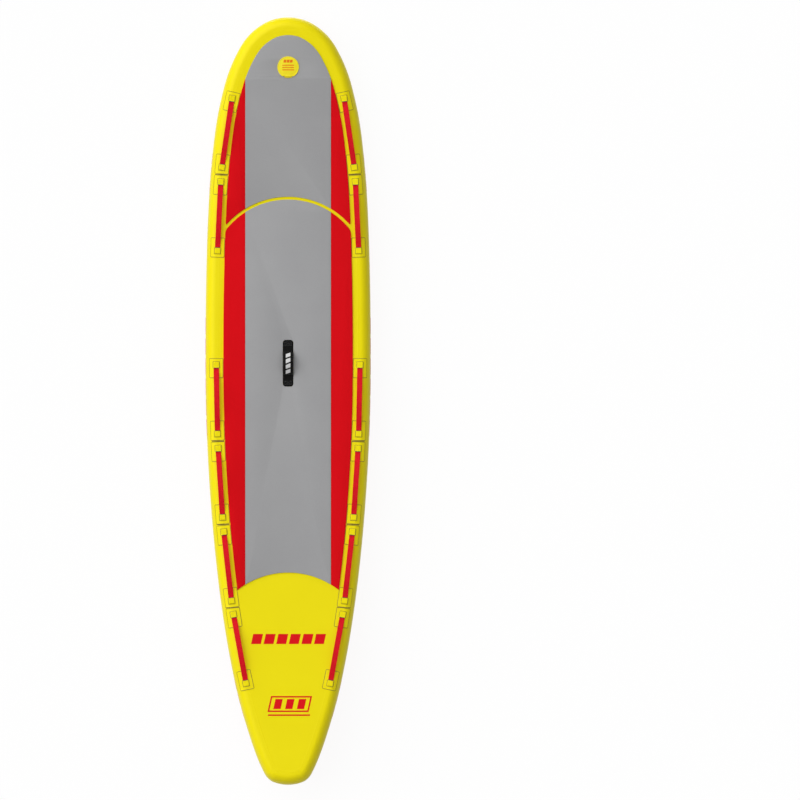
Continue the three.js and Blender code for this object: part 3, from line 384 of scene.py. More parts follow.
def woven_cloth(name, colour, groove_shade):
    """Bricks half as high as wide stand for the yarns; the dark lines between them are painted
    shade in the gaps.
    """
    cloth = Finish(name, roughness=0.85)
    # Painted shade: the sunk lines between the yarns take the darker colour.
    inputs = {"Vector": cloth.place, "Color1": colour, "Color2": colour, "Mortar": groove_shade,
              "Scale": 1 / CLOTH_PITCH, "Mortar Size": 0.08, "Brick Width": 0.9, "Row Height": 0.45}
    weave = node(cloth.tree, "ShaderNodeTexBrick", inputs).outputs
    cloth.join(weave["Color"], "Base Color")
    cloth.bump(weave["Fac"], strength=0.5, distance=0.0004, invert=True)
    return cloth.material


def recolour(node_name, material):
    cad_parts[node_name].material_slots[0].material = material


recolour("drop_stitch_core", woven_cloth("drop_stitch_cloth", paint(226, 226, 218), paint(150, 150, 142)))


# Deck skin and foam pads. The pads are sheets of closed-cell foam, 5 mm thick, cut to shape with
# rounded upper edges and glued down: grey in the middle, red at the sides, with a bare curved
# stripe between the front and main pads and bare skin at the tail.
SIDES = (("right", 1), ("left", -1))
PAD_INSET = 85
DECK_BUTT = 0.05  # gap between the deck skin and the rail band
PAD_THICKNESS = 5
PAD_EDGE = 1.3
CENTRE_HALF_WIDTH = 204
BUTT_GAP = 0.4
ARC_RADIUS = 391
ARC_FROM_NOSE = 855
STRIPE = 14
PAD_END_FROM_NOSE = BOARD_LENGTH - 1012
STRIPE_FILLET = 15
HANDLE_Y = 180
HANDLE_PATCH = (50, 222, 14)  # width, length and corner radius
VALVE_Y = from_nose(237)
VALVE_HOLE_RADIUS = 40.6
VALVE_NOTCH = (17.6, 50.8)  # half width, and reach behind the valve's middle
CUP_HOLE_RADIUS = 20.5
KICK_CUTS = [(np.arange(from_nose(KICK_LENGTH), BOARD_LENGTH / 2, 14), (0, 1), (0, 0))]


def plan_depth(plan):
    """How far each plan point lies inside the outline."""
    points, start = plan[:, None], OUTLINE[None]
    run = (np.roll(OUTLINE, -1, 0) - OUTLINE)[None]
    share = np.clip(np.sum((points - start) * run, axis=2) / np.sum(run * run, axis=2), 0, 1)
    away = points - start - run * share[:, :, None]
    return np.sqrt(np.min(np.sum(away * away, axis=2), axis=1))


def laid(plan, lift, up=1):
    """Plan points laid on the deck (up = 1) or on the hull (up = -1), lifted off it."""
    top, bottom = deck_height(plan[:, 1]), hull_height(plan[:, 1])
    turn = np.clip((RAIL_DEPTH - plan_depth(plan)) / (RAIL_DEPTH + lift), 0, 0.999)
    z = (top + bottom) / 2 + up * ((top - bottom) / 2 + lift) * np.sqrt(1 - turn**2)
    return np.column_stack([plan, z])


def drawn_in(loop, distance):
    """A plan loop moved towards its left side, which is where its material lies."""
    ahead = np.roll(loop, -1, 0) - loop
    ahead /= np.linalg.norm(ahead, axis=1)[:, None]
    behind = np.roll(ahead, 1, 0)
    left, next_left = (np.column_stack([-run[:, 1], run[:, 0]]) for run in (behind, ahead))
    reach = distance / np.maximum(0.35, 1 + np.sum(left * next_left, axis=1))
    return loop + (left + next_left) * reach[:, None]


def unpacked(bm):
    """The corners and faces of a mesh that was being worked on."""
    bm.verts.index_update()
    corners = np.array([vert.co[:] for vert in bm.verts])
    faces = [tuple(vert.index for vert in face.verts) for face in bm.faces]
    bm.free()
    return corners, faces


def plate(loops, thickness, edge, edge_steps=3, cuts=()):
    """Flat plate with rounded upper edges, from its outline and its holes. It can bend at its cuts,
    each of which is rows at places along a direction from an origin."""
    turn = np.linspace(0, math.pi / 2, edge_steps + 1)
    profile = [(0, 0), *zip(edge * (1 - np.cos(turn)), thickness - edge + edge * np.sin(turn))]
    bm = bmesh.new()
    for inset, z in ((0, 0), (edge, profile[-1][1])):
        flat = [[Vector((*point, 0)) for point in drawn_in(loop, inset)] for loop in loops]
        corners = [bm.verts.new((p.x, p.y, z)) for loop in flat for p in loop]
        for triangle in tessellate_polygon(flat):
            bm.faces.new([corners[i] for i in triangle])
    for loop in loops:
        corners = [bm.verts.new((*point, z)) for inset, z in profile for point in drawn_in(loop, inset)]
        for wall in loop_walls(len(profile), len(loop)):
            bm.faces.new([corners[i] for i in wall])
    bmesh.ops.remove_doubles(bm, verts=bm.verts, dist=1e-4)
    bmesh.ops.recalc_face_normals(bm, faces=bm.faces)
    for places, direction, origin in cuts:
        across = Vector((*direction, 0))
        for place in places:
            bmesh.ops.bisect_plane(bm, geom=bm.verts[:] + bm.edges[:] + bm.faces[:], dist=1e-5,
                                   plane_co=Vector((*origin, 0)) + across * place, plane_no=across)
    return unpacked(bm)


def draped(shape, lift, up=1):
    """Lays a flat plate on the deck or hull."""
    flat, faces = shape
    return laid(flat[:, :2], lift + flat[:, 2], up), faces


def inset_line(inset, low, high):
    """Points of the line at an inset on the right side, from y low up to y high."""
    line = (OUTLINE + INWARD * inset)[:HALF][::-1]
    y = np.concatenate([[low], line[(line[:, 1] > low + 0.5) & (line[:, 1] < high - 0.5), 1], [high]])
    return np.column_stack([np.interp(y, line[:, 1], line[:, 0]), y])


def arc(centre_y, radius, x_from, x_to, steps=40):
    x = np.linspace(x_from, x_to, steps + 1)
    return np.column_stack([x, centre_y + np.sqrt(radius**2 - x**2)])


def meeting(inset, centre_y, radius):
    """Where the line at an inset crosses an arc."""
    line = inset_line(inset, centre_y, from_nose(300))
    over = line[:, 1] - centre_y - np.sqrt(radius**2 - np.minimum(line[:, 0], radius) ** 2)
    above = np.argmax(over > 0)
    low, high = line[above - 1], line[above]
    for _ in range(30):
        middle = (low + high) / 2
        if middle[1] > centre_y + math.sqrt(radius**2 - middle[0] ** 2):
            high = middle
        else:
            low = middle
    return (low + high) / 2


def softened(loop, corner, reach, steps=6):
    """Rounds one corner of a loop over a reach to each side of it."""
    at = int(np.argmin(np.sum((loop - corner) ** 2, axis=1)))
    loop = np.roll(loop, -at, 0)
    gaps = np.linalg.norm(loop - loop[0], axis=1)
    size = len(loop)
    ahead = next(i for i in range(1, size) if gaps[i] >= reach)
    behind = next(i for i in range(size - 1, 0, -1) if gaps[i] >= reach)

    def cut(outer, inner):
        share = (reach - gaps[inner]) / max(1e-6, gaps[outer] - gaps[inner])
        return loop[inner] + (loop[outer] - loop[inner]) * share

    start, end = cut(behind, (behind + 1) % size), cut(ahead, ahead - 1)
    t = np.linspace(0, 1, steps + 1)[:, None]
    bend = (1 - t) ** 2 * start + 2 * t * (1 - t) * loop[0] + t**2 * end
    return np.vstack([bend, loop[ahead:behind + 1]])


def cleaned(loop, least=0.05):
    return loop[np.linalg.norm(loop - np.roll(loop, 1, 0), axis=1) > least]


def facing_left(loop):
    """Runs a loop counter-clockwise, so that its left side is its inside."""
    x, y = loop[:, 0], loop[:, 1]
    area = np.sum(x * np.roll(y, -1) - np.roll(x, -1) * y)
    return loop if area > 0 else loop[::-1]


def turns(first, last, count):
    """Points on a circle of radius 1 between two angles, counter-clockwise from the right."""
    angle = np.linspace(first, last, count)
    return np.column_stack([np.cos(angle), np.sin(angle)])


def circle(count):
    return turns(0, 2 * math.pi, count + 1)[:-1]


def rounded_rectangle(width, length, corner, steps=7):
    quarter = turns(0, math.pi / 2, steps + 1) * corner
    loops = []
    for right, front in ((1, 1), (-1, 1), (-1, -1), (1, -1)):
        c, s = (right + front) / 2, (front - right) / 2
        middle = (right * (width / 2 - corner), front * (length / 2 - corner))
        loops.append(quarter @ np.array([[c, s], [-s, c]]) + middle)
    return np.vstack(loops)


def closed_cell_foam(name, colour, shade):
    """Sanded foam: fine cells, a dry surface and a little unevenness from cutting and use."""
    foam = Finish(name, roughness=0.88, gloss=0.12)
    grain = foam.noise(240, detail=4, roughness=0.7)
    uneven = maths(foam.tree, "ADD", grain, foam.noise(5, detail=3))
    foam.colour(foam.spread(uneven, 0.75, 1.3, 0, 0.4), colour, shade)
    foam.bump(maths(foam.tree, "ADD", foam.cells(620), grain), strength=0.35, distance=0.0004)
    return foam.material


def make_deck_skin():
    edge = facing_left(OUTLINE + INWARD * (RAIL_LAP + DECK_BUTT))
    hole = circle(48)[:, ::-1] * CUP_HOLE_RADIUS + (0, VALVE_Y)
    skin = draped(plate([edge, hole], SKIN, 0.1, 1, KICK_CUTS), -SKIN)
    piece("deck_fabric", skin, yellow_fabric, "deck_skin")


def valve_hole():
    """The round hole for the valve, with a notch to the rear for its hinge."""
    ring = turns(0, 2 * math.pi, 97)[:, ::-1] * VALVE_HOLE_RADIUS
    across, back = VALVE_NOTCH
    right = ring[(ring[:, 0] > 0) & ((ring[:, 1] > 0) | (ring[:, 0] > across))]
    left = ring[(ring[:, 0] < 0) & ((ring[:, 1] > 0) | (ring[:, 0] < -across))]
    start = -math.sqrt(VALVE_HOLE_RADIUS**2 - across**2)
    notch = [(across, start), (across, -back), (-across, -back), (-across, start)]
    return cleaned(np.vstack([right, notch, left])) + (0, VALVE_Y)


def make_pads():
    grey = closed_cell_foam("grey_foam_sheet", paint(160, 160, 161), paint(149, 149, 151))
    red = closed_cell_foam("red_foam_sheet", paint(214, 5, 18), paint(200, 4, 14))
    arc_y = from_nose(ARC_FROM_NOSE + ARC_RADIUS)
    end_y = from_nose(PAD_END_FROM_NOSE + ARC_RADIUS)
    main_radius = ARC_RADIUS - STRIPE
    wide, far = CENTRE_HALF_WIDTH, CENTRE_HALF_WIDTH + BUTT_GAP
    nose = OUTLINE + INWARD * PAD_INSET
    nose = nose[(nose[:, 1] > 0) & (np.abs(nose[:, 0]) < wide - 0.5)]
    nose = nose[np.argsort(nose[:, 0])]
    line = inset_line(PAD_INSET, from_nose(900), from_nose(PAD_INSET + 1))
    y_at = {x: float(np.interp(-x, -line[:, 0], line[:, 1])) for x in (wide, far)}
    front = np.vstack([arc(arc_y, ARC_RADIUS, wide, -wide), [(-wide, y_at[wide])], nose,
                       [(wide, y_at[wide])]])
    main = np.vstack([arc(end_y, ARC_RADIUS, wide, -wide), arc(arc_y, main_radius, -wide, wide)])
    width, length, corner = HANDLE_PATCH
    handle_hole = rounded_rectangle(width + 2 * SEAT, length + 2 * SEAT, corner + SEAT)[::-1] + (0, HANDLE_Y)
    made = {"front_pad_centre": ([facing_left(front), facing_left(valve_hole())[::-1]], grey),
            "main_pad_centre": ([facing_left(main), handle_hole], grey)}
    front_low = meeting(PAD_INSET, arc_y, ARC_RADIUS)
    main_high = meeting(PAD_INSET, arc_y, main_radius)
    tail = inset_line(PAD_INSET, -BOARD_LENGTH / 2 + 300, 0)
    over = tail[:, 1] - end_y - np.sqrt(ARC_RADIUS**2 - tail[:, 0] ** 2)
    main_low = np.array([np.interp(0, over, tail[:, k]) for k in (0, 1)])
    front = np.vstack([arc(arc_y, ARC_RADIUS, far, front_low[0], 14),
                       inset_line(PAD_INSET, front_low[1], y_at[far] - 0.6)[1:], [(far, y_at[far])]])
    main = np.vstack([arc(end_y, ARC_RADIUS, far, main_low[0], 10),
                      inset_line(PAD_INSET, main_low[1], main_high[1])[1:],
                      arc(arc_y, main_radius, main_high[0], far, 14)[1:]])
    for side, sign in SIDES:
        for zone, loop, corner in (("front", front, front_low), ("main", main, main_high)):
            loop = cleaned(softened(loop, corner, STRIPE_FILLET) * (sign, 1))
            made[f"{zone}_pad_{side}"] = ([facing_left(loop)], red)
    for name, (loops, foam) in made.items():
        cuts = KICK_CUTS if name.startswith("front") else ()
        flat = plate([cleaned(loop) for loop in loops], PAD_THICKNESS, PAD_EDGE, cuts=cuts)
        pad = piece(f"{name}_foam", draped(flat, SEAT), foam, name)


make_deck_skin()
make_pads()


# Nose panel: a second sheet of red coated fabric that strengthens the hull under the nose.
# It is welded flat to the hull skin and ends in an arc, so its edge shows as a seam.
NOSE_PANEL_INSET = 19.5
NOSE_PANEL_GAP = 0.3
NOSE_PANEL_THICK = 1.0
NOSE_ARC_RADIUS = 687
NOSE_ARC_CENTRE_FROM_NOSE = 449 - NOSE_ARC_RADIUS


def even_cuts(loop, axis, step):
    """Rows across the whole of a loop, about a step apart, along x (0) or y (1)."""
    low, high = loop[:, axis].min(), loop[:, axis].max()
    return np.linspace(low, high, max(2, int((high - low) / step)))[1:-1], (1 - axis, axis), (0, 0)


def panel_outline():
    line = OUTLINE + INWARD * NOSE_PANEL_INSET
    centre = np.array([0, from_nose(NOSE_ARC_CENTRE_FROM_NOSE)])
    kept = line[(np.linalg.norm(line - centre, axis=1) < NOSE_ARC_RADIUS - 1) & (line[:, 1] > 0)]
    right = kept[kept[:, 0] >= 0]
    right = right[np.argsort(-right[:, 1])]
    low = right[-1]
    reach = math.atan2(low[0], centre[1] - low[1])
    rear = centre + turns(reach, -reach, 61)[:, ::-1] * (1, -1) * NOSE_ARC_RADIUS
    return cleaned(np.vstack([right, rear, right[::-1] * (-1, 1)]), 0.5)


def make_nose_panel():
    loop = facing_left(panel_outline())
    flat = plate([loop], NOSE_PANEL_THICK, 0.4, 2, [even_cuts(loop, 1, 14), even_cuts(loop, 0, 12)])
    piece("nose_panel_fabric", draped(flat, NOSE_PANEL_GAP, -1), red_fabric, "nose_panel",
          sharp=50)


make_nose_panel()


# Printed marks: plain slanted bars, frames and arrows of thin welded film in the two body colours,
# on the deck's tail, along both sides and under the hull, with an arrow at each strap.
FILM_LIFT = 0.05
FILM_THICK = 0.22
SLANT = 0.22
STRAP_SHARES = (0.1506, 0.2592, 0.4978, 0.6066, 0.7154, 0.8229)  # of the length, from the nose
ARROW_INSET = 40
DECK_BARS = [(2 + (k - 2.5) * 60, -1134, 47, 48) for k in range(6)]  # middle x and y, width, height
DECK_FRAME = (8, -1444, 196, 76, 7)  # the same and the frame's own width
DECK_LINE = (4, -1497, 200, 7)
HULL_BARS = [(1100 - 306 * (k + 0.5), 0, 240, 214) for k in range(6)]  # these run along the hull
HULL_FRAME = (4, -989, 300, 120, 12)
HULL_LINE = (0, -1076, 290, 9)
SIDE_BARS = [(-172 + 97 * k, 76, -42, 12) for k in range(6)]  # start, length, two rail angles
SIDE_BARS += [(start + 66 * k, 46, -30, 8) for start in (995, -1515) for k in range(3)]


def darker(colour, share):
    return tuple(value * share for value in colour[:3]) + (1.0,)


def film(name, colour):
    """Thin printed film with a soft shine, rubbed darker and duller in places."""
    sheet = Finish(name, gloss=0.12)
    rub = sheet.noise(38, detail=6, roughness=0.68)
    sheet.join(sheet.spread(rub, 0, 1, 0.42, 0.6), "Roughness")
    sheet.colour(sheet.spread(rub, 0.4, 1, 0, 0.25), colour, darker(colour, 0.82))
    sheet.bump(rub, strength=0.08, distance=0.0002)
    return sheet.material


red_film = film("red_welded_film", paint(216, 8, 18))
yellow_film = film("yellow_welded_film", paint(240, 224, 6))


def together(shapes):
    """Several shapes, each its corners and faces, as one."""
    corners, faces = [], []
    for part, part_faces in shapes:
        faces += [tuple(i + len(corners) for i in face) for face in part_faces]
        corners += [tuple(corner) for corner in part]
    return np.array(corners), faces


def two_sheets(rows, columns):
    """Faces of two like grids of corners, one over the other, and of the wall between their edges."""
    def at(i, j, sheet):
        return (sheet * rows + i) * columns + j

    faces = [(at(i, j, k), at(i + 1, j, k), at(i + 1, j + 1, k), at(i, j + 1, k))
             for i in range(rows - 1) for j in range(columns - 1) for k in (0, 1)]
    faces += [(at(i, j, 0), at(i + 1, j, 0), at(i + 1, j, 1), at(i, j, 1))
              for i in range(rows - 1) for j in (0, columns - 1)]
    faces += [(at(i, j, 0), at(i, j + 1, 0), at(i, j + 1, 1), at(i, j, 1))
              for j in range(columns - 1) for i in (0, rows - 1)]
    return faces


def bar(x, y, width, height):
    """A slanted bar; it leans along x as its height runs along y."""
    shift = SLANT * height / 2
    left, right, low, high = x - width / 2, x + width / 2, y - height / 2, y + height / 2
    return np.array([(left - shift, low), (right - shift, low), (right + shift, high),
                     (left + shift, high)])


def frame_and_bars(x, y, width, height, thick):
    outer = bar(x, y, width, height)
    inner = bar(x, y, width - 2 * thick * 1.05, height - 2 * thick)
    gap = (width - 4 * thick) / 3
    return [[outer, inner[::-1]], *([bar(x + (k - 1) * gap, y, gap * 0.62, height - 4 * thick)]
                                    for k in range(3))]


def arrow(x, y, side):
    """A plain arrow that points to one side, with its tip at the point."""
    head, length, wide, narrow = 33, 70, 21, 11
    half = [(0, 0), (head, wide), (head, narrow), (length, narrow)]
    whole = half + [(back, -out) for back, out in half[:0:-1]]
    return facing_left(np.array([(x - side * back, y + out) for back, out in whole], float))


def film_shapes(shapes, up):
    """Flat films on deck or hull; each shape is its outline and its holes."""
    made = []
    for loops in shapes:
        on_rail = plan_depth(loops[0]).min() < RAIL_DEPTH
        cuts = [even_cuts(loops[0], 0, 5)] if on_rail else ()
        made.append(draped(plate(loops, FILM_THICK, 0.05, 1, cuts), FILM_LIFT, up))
    return together(made)


def make_flat_marks():
    deck = [*([bar(*size)] for size in DECK_BARS), *frame_and_bars(*DECK_FRAME), [bar(*DECK_LINE)]]
    piece("deck_marks", film_shapes(deck, 1), red_film)
    hull = [*([facing_left(bar(*size)[:, ::-1])] for size in HULL_BARS), *frame_and_bars(*HULL_FRAME),
            [bar(*HULL_LINE)]]
    for share in STRAP_SHARES:
        y = from_nose(share * BOARD_LENGTH)
        edge = float(inset_line(ARROW_INSET, y - 1, y + 1)[0, 0])
        hull += [[arrow(sign * edge, y, sign)] for _, sign in SIDES]
    piece("hull_marks", film_shapes(hull, -1), yellow_film, sharp=60)


def inset_at(y, inset, reach=1):
    """The point of the line at an inset on the right side, smoothed over a reach each way."""
    return np.array([inset_line(inset, y - reach, y + reach)[:, 0].mean(), y])


def rail_point(y, lift, degrees):
    """A point of the right-hand rail at an angle of its section."""
    inward = [np.interp(y, OUTLINE[:HALF][::-1, 1], INWARD[:HALF][::-1, k]) for k in (0, 1)]
    return round_rail(lift, degrees, edge=inset_at(y, 0, 0.6)[None], inward=np.array([inward]))[0]


def side_bar(start, length, low, high, along=14, up=8):
    """A slanted bar wrapped on the right-hand rail between two angles of its section."""
    corners = []
    for lift in FILM_LIFT, FILM_LIFT + FILM_THICK:
        for i in range(along + 1):
            for j in range(up + 1):
                y = start + length * i / along + (j / up - 0.5) * (high - low) * 0.35
                corners.append(rail_point(y, lift, low + (high - low) * j / up))
    return corners, two_sheets(along + 1, up + 1)


def make_side_marks():
    corners, faces = together([side_bar(*size) for size in SIDE_BARS])
    for side, sign in SIDES:
        piece(f"side_marks_{side}", (corners * (sign, 1, 1), faces), red_film)


make_flat_marks()
make_side_marks()


# Seams, welds and stitches: Geometry Nodes lay a round bead along a path, or set one thread after
# another along it. The path is a curve, and the result is baked to a plain mesh.
def path_tree(name, sizes, build):
    tree = bpy.data.node_groups.new(name, "GeometryNodeTree")
    for label, kind in (("Path", "Geometry"), *((size, "Float") for size in sizes), ("Finish", "Material")):
        tree.interface.new_socket(label, in_out="INPUT", socket_type=f"NodeSocket{kind}")
    tree.interface.new_socket("Mesh", in_out="OUTPUT", socket_type="NodeSocketGeometry")
    given = node(tree, "NodeGroupInput").outputs
    solid = node(tree, "GeometryNodeRealizeInstances", {0: build(tree, given)})
    shown = node(tree, "GeometryNodeSetMaterial", {"Geometry": solid.outputs[0], "Material": given["Finish"]})
    node(tree, "NodeGroupOutput", {0: shown.outputs[0]})
    return tree


def build_bead(tree, given):
    ring = node(tree, "GeometryNodeCurvePrimitiveCircle", {"Resolution": 8, "Radius": 1.0})
    size = node(tree, "ShaderNodeCombineXYZ", {0: given["Half width"], 1: given["Half height"], 2: 1.0})
    flat = node(tree, "GeometryNodeTransform", {"Geometry": ring.outputs[0], "Scale": size.outputs[0]})
    inputs = {"Curve": given["Path"], "Profile Curve": flat.outputs[0], "Fill Caps": True}
    return node(tree, "GeometryNodeCurveToMesh", inputs).outputs[0]


def build_stitches(tree, given):
    inputs = {"Curve": given["Path"], "Length": given["Pitch"]}
    spaced = node(tree, "GeometryNodeResampleCurve", inputs, mode="LENGTH")
    half = maths(tree, "MULTIPLY", given["Stitch length"], 0.5)
    radius = given["Thread radius"]
    size = node(tree, "ShaderNodeCombineXYZ", {0: radius, 1: half, 2: radius})
    stitch = node(tree, "GeometryNodeMeshUVSphere", {"Segments": 6, "Rings": 4, "Radius": 1.0})
    run = node(tree, "GeometryNodeInputTangent")
    turned_along = node(tree, "FunctionNodeAlignRotationToVector", {"Vector": run.outputs[0]}, axis="Y")
    inputs = {"Points": spaced.outputs[0], "Instance": stitch.outputs[0],
              "Rotation": turned_along.outputs[0], "Scale": size.outputs[0]}
    return node(tree, "GeometryNodeInstanceOnPoints", inputs).outputs[0]


bead_tree = path_tree("welded_bead", ("Half width", "Half height"), build_bead)
stitch_tree = path_tree("sewn_line", ("Pitch", "Stitch length", "Thread radius"), build_stitches)


def along_paths(name, tree, sizes, paths, material, closed=False):
    """Runs one of the path trees over paths in millimetres and keeps the mesh that it makes."""
    curve = bpy.data.curves.new(f"{name}_path", "CURVE")
    curve.dimensions = "3D"
    curve.twist_mode = "Z_UP"
    for path in paths:
        spline = curve.splines.new("POLY")
        spline.points.add(len(path) - 1)
        metres = np.column_stack([np.array(path) / 1000, np.ones(len(path))])
        spline.points.foreach_set("co", metres.ravel())
        spline.use_cyclic_u = closed
    carrier = set_up(f"{name}_path", curve)
    modifier = carrier.modifiers.new("along", "NODES")
    modifier.node_group = tree
    given = {"Finish": material, **{label: size / 1000 for label, size in sizes.items()}}
    for item in tree.interface.items_tree:
        if item.in_out == "INPUT" and item.name in given:
            modifier[item.identifier] = given[item.name]
    shaped = carrier.evaluated_get(bpy.context.evaluated_depsgraph_get())
    result = bpy.data.meshes.new_from_object(shaped)
    bpy.data.objects.remove(carrier)
    return piece(name, result, material, sharp=60)


def bead(name, half_width, half_height, paths, material, closed=False):
    sizes = {"Half width": half_width, "Half height": half_height}
    return along_paths(name, bead_tree, sizes, paths, material, closed)


def stitching(name, pitch, length, radius, paths, material):
    sizes = {"Pitch": pitch, "Stitch length": length, "Thread radius": radius}
    return along_paths(name, stitch_tree, sizes, paths, material)


def thread(name, colour):
    yarn = Finish(name, roughness=0.62)
    yarn.colour(yarn.spread(yarn.noise(900), 0, 1, 0, 0.6), colour, darker(colour, 0.7))
    return yarn.material


def make_body_seams():
    plan = OUTLINE + INWARD * RAIL_LAP
    deck = np.column_stack([plan, deck_height(plan[:, 1])])
    bead("deck_seam_bead", 2.4, 0.25, [deck], yellow_fabric, closed=True)
    plan = facing_left(panel_outline())
    plan = np.vstack([a + (b - a) * np.linspace(0, 1, max(2, int(np.linalg.norm(b - a) / 6)))[:-1, None]
                      for a, b in zip(plan, np.roll(plan, -1, 0))])
    hull = laid(plan, NOSE_PANEL_GAP + 0.6, -1)
    bead("nose_panel_weld", 1.3, 0.8, [hull], thread("dark_red_weld_line", paint(128, 3, 10)),
         closed=True)


make_body_seams()


# Grab straps, six along each rail. Each end of the red webbing is held in a sewn pocket on a yellow
# patch welded to the deck; a darker line runs round each patch and each pocket, partly its weld and
# partly painted shade at the raised edge, and brown thread runs round each pocket. Where two patches
# meet, a dark bead is painted shadow of the gap between them, and the dark bar tack across each
# pocket's mouth is thread that is also painted shadow of the opening.
STRAP_INSET = 51
STRAP_HALF = 13
STRAP_THICK = 2.4
STRAPS_THAT_MEET = (2, 4, 5, 6)  # their front patch touches the rear patch of the strap before
LAP_HALF = 29
STRAP_ARCH = 24
STRAP_TUCK = 27
STRAP_FULLNESS = 1.5
PATCH = (64, 92, 4)  # width, length and corner radius
PATCH_THICK = 1.2
WEB_UNDER = 2 * SEAT + PATCH_THICK
POCKET_HALF = 16
POCKET_LENGTH = 31
POCKET_ROWS = (0, 0.6, 2, 8, 16, 22, 25, 26.5, 27.6, 28.6, 29.6, 30.5, POCKET_LENGTH)
POCKET_COLUMNS = (0, 6, 11.2, 12.4, 13.2, 13.4, 13.9, 14.4, 15.4, POCKET_HALF)
POCKET_TOP = WEB_UNDER + STRAP_THICK + SEAT + 2
FLANGE = (0.25, 0.85)  # thickness of the pocket's rim, and what the rim gains inside its rounded edge
TUNNEL = (14.4, 30)  # half width and reach of the raised part
HOLLOW = (13.3, 27.5)  # half width and reach of the room for the webbing
STRAP_GAP = min(b - a for a, b in zip(STRAP_SHARES, STRAP_SHARES[1:])) * BOARD_LENGTH
STRAP_SPAN = STRAP_GAP - PATCH[1] - 3.2
WELD_LIFT = SEAT + 0.95
EDGE_LIFT = SEAT + PATCH_THICK + 0.8
SEAM_LIFT = SEAT + PATCH_THICK + 1.35


def webbing(name, colour, groove_shade, ribs=1.7, gloss=0.15):
    """Flat woven strap: ribs across it and a row of warp ends along it, from its own map.
    Its grooves take a darker colour, as painted shade.
    """
    web = Finish(name, roughness=0.7, gloss=gloss, own_map="woven")
    rows, ends = web.waves("Y", 100 / ribs * math.pi), web.waves("X", 100 / 1.3 * math.pi)
    weave = maths(web.tree, "ADD", rows, ends)
    deep = maths(web.tree, "MULTIPLY", weave, web.noise(60, detail=6))
    # Painted shade: the low parts of the weave take the darker colour.
    web.colour(web.spread(deep, 0.1, 0.8, 0, 1), groove_shade, colour)
    web.bump(weave, strength=0.5, distance=0.0004)
    return web.material


red_webbing = webbing("red_polyester_webbing", paint(232, 16, 34), paint(198, 6, 20))
# Darker line round patches and pockets: partly the weld, partly painted shade at their raised edges.
weld_and_edge_shade_line = thread("mustard_weld_and_edge_shade", paint(160, 140, 8))
# Painted shadow: a dark line where two patches meet, standing for the shade in the gap between them.
gap_shadow_line = thread("painted_gap_shadow", paint(104, 88, 8))
# A dark bar tack of thread, dark also as painted shadow of the pocket's opening.
mouth_shadow_tack = thread("plum_bar_tack_and_mouth_shadow", paint(84, 30, 40))
brown_thread = thread("brown_bonded_thread", paint(120, 96, 10))


def strap_section(half, thickness, corner=0.7):
    """Section of webbing with soft edges, as offsets across and up from its underside."""
    flat, top, side = half - corner, thickness, thickness - corner
    return [(-half, corner), (-flat, 0), (flat, 0), (half, corner), (half, side), (flat, top), (-flat, top),
            (-half, side)]


def capped_walls(loops, size):
    last = (loops - 1) * size
    return loop_walls(loops, size) + [tuple(range(size)), tuple(last + i for i in reversed(range(size)))]


def leaning(rise, place, along=(0, 1)):
    """The direction square to an arched strap at a place along it."""
    slope = rise(place + 0.5) - rise(place - 0.5)
    return np.array([along[0] * -slope, along[1] * -slope, 1.0]) / math.sqrt(1 + slope**2)


def right_of(along):
    return np.array([along[1], -along[0]])


def strap_band(name, centre, along, places, section, under, rise, material, instead_of):
    """Sweeps a section along the deck; its map runs in metres across and along the strap."""
    corners, texture = [], []
    for place in places:
        at = centre + along * place
        lean = leaning(rise, place, along)
        base = np.array([*at, float(deck_height(at[1])) + under + rise(place)])
        for side, up in section:
            corners.append(base + np.array([*(right_of(along) * side), 0]) + lean * up)
            texture.append((side / 1000, place / 1000))
    mesh = shape_mesh(name, corners, capped_walls(len(places), len(section)))
    woven = mesh.uv_layers.new(name="woven")
    for loop in mesh.loops:
        woven.data[loop.index].uv = texture[loop.vertex_index]
    piece(name, mesh, material, instead_of, sharp=40)


def smooth(share):
    return share * share * (3 - 2 * share)


def ramp(value, run):
    return np.clip(value / run, 0, 1)


def strap_rise(half):
    def rise(place):
        return STRAP_ARCH * (1 - smooth(min(1, abs(place) / half) ** STRAP_FULLNESS))

    return rise


def pocket(mouth, inwards, across):
    """The raised pocket, open at its mouth, with the room for the webbing under its lid."""
    columns = np.array(POCKET_COLUMNS)
    columns = np.concatenate([-columns[::-1], columns[1:]])
    deep, wide = (part.ravel() for part in np.meshgrid(POCKET_ROWS, columns, indexing="ij"))
    plan = mouth + deep[:, None] * inwards + wide[:, None] * across
    wide = np.abs(wide)
    skin = laid(plan, SEAT + PATCH_THICK)[:, 2]
    level = deck_height(plan[:, 1])
    edge = np.minimum(ramp(POCKET_HALF - wide, 0.7), ramp(POCKET_LENGTH - deep, 0.7))
    tunnel = smooth(ramp(TUNNEL[0] - wide, 1.8) * ramp(TUNNEL[1] - deep, 3.4))
    flange = skin + FLANGE[0] + FLANGE[1] * edge
    top = flange + tunnel * (level + POCKET_TOP - flange) - 0.35 * ramp(0.6 - deep, 0.6)
    room = (wide < HOLLOW[0]) & (deep < HOLLOW[1])
    bottom = np.where(room, level + WEB_UNDER + STRAP_THICK + SEAT, skin + 0.02)
    corners = np.vstack([np.column_stack([plan, top]), np.column_stack([plan, bottom])])
    return corners, two_sheets(len(POCKET_ROWS), len(columns))


def on_patch(points, lift, step=4):
    """A path over the patch through plan points, laid at a lift off the deck skin."""
    legs = [np.linspace(a, b, int(np.linalg.norm(b - a) / step) + 2)[:-1]
            for a, b in zip(points, points[1:])]
    return laid(np.vstack(legs + [points[-1:]]), lift)


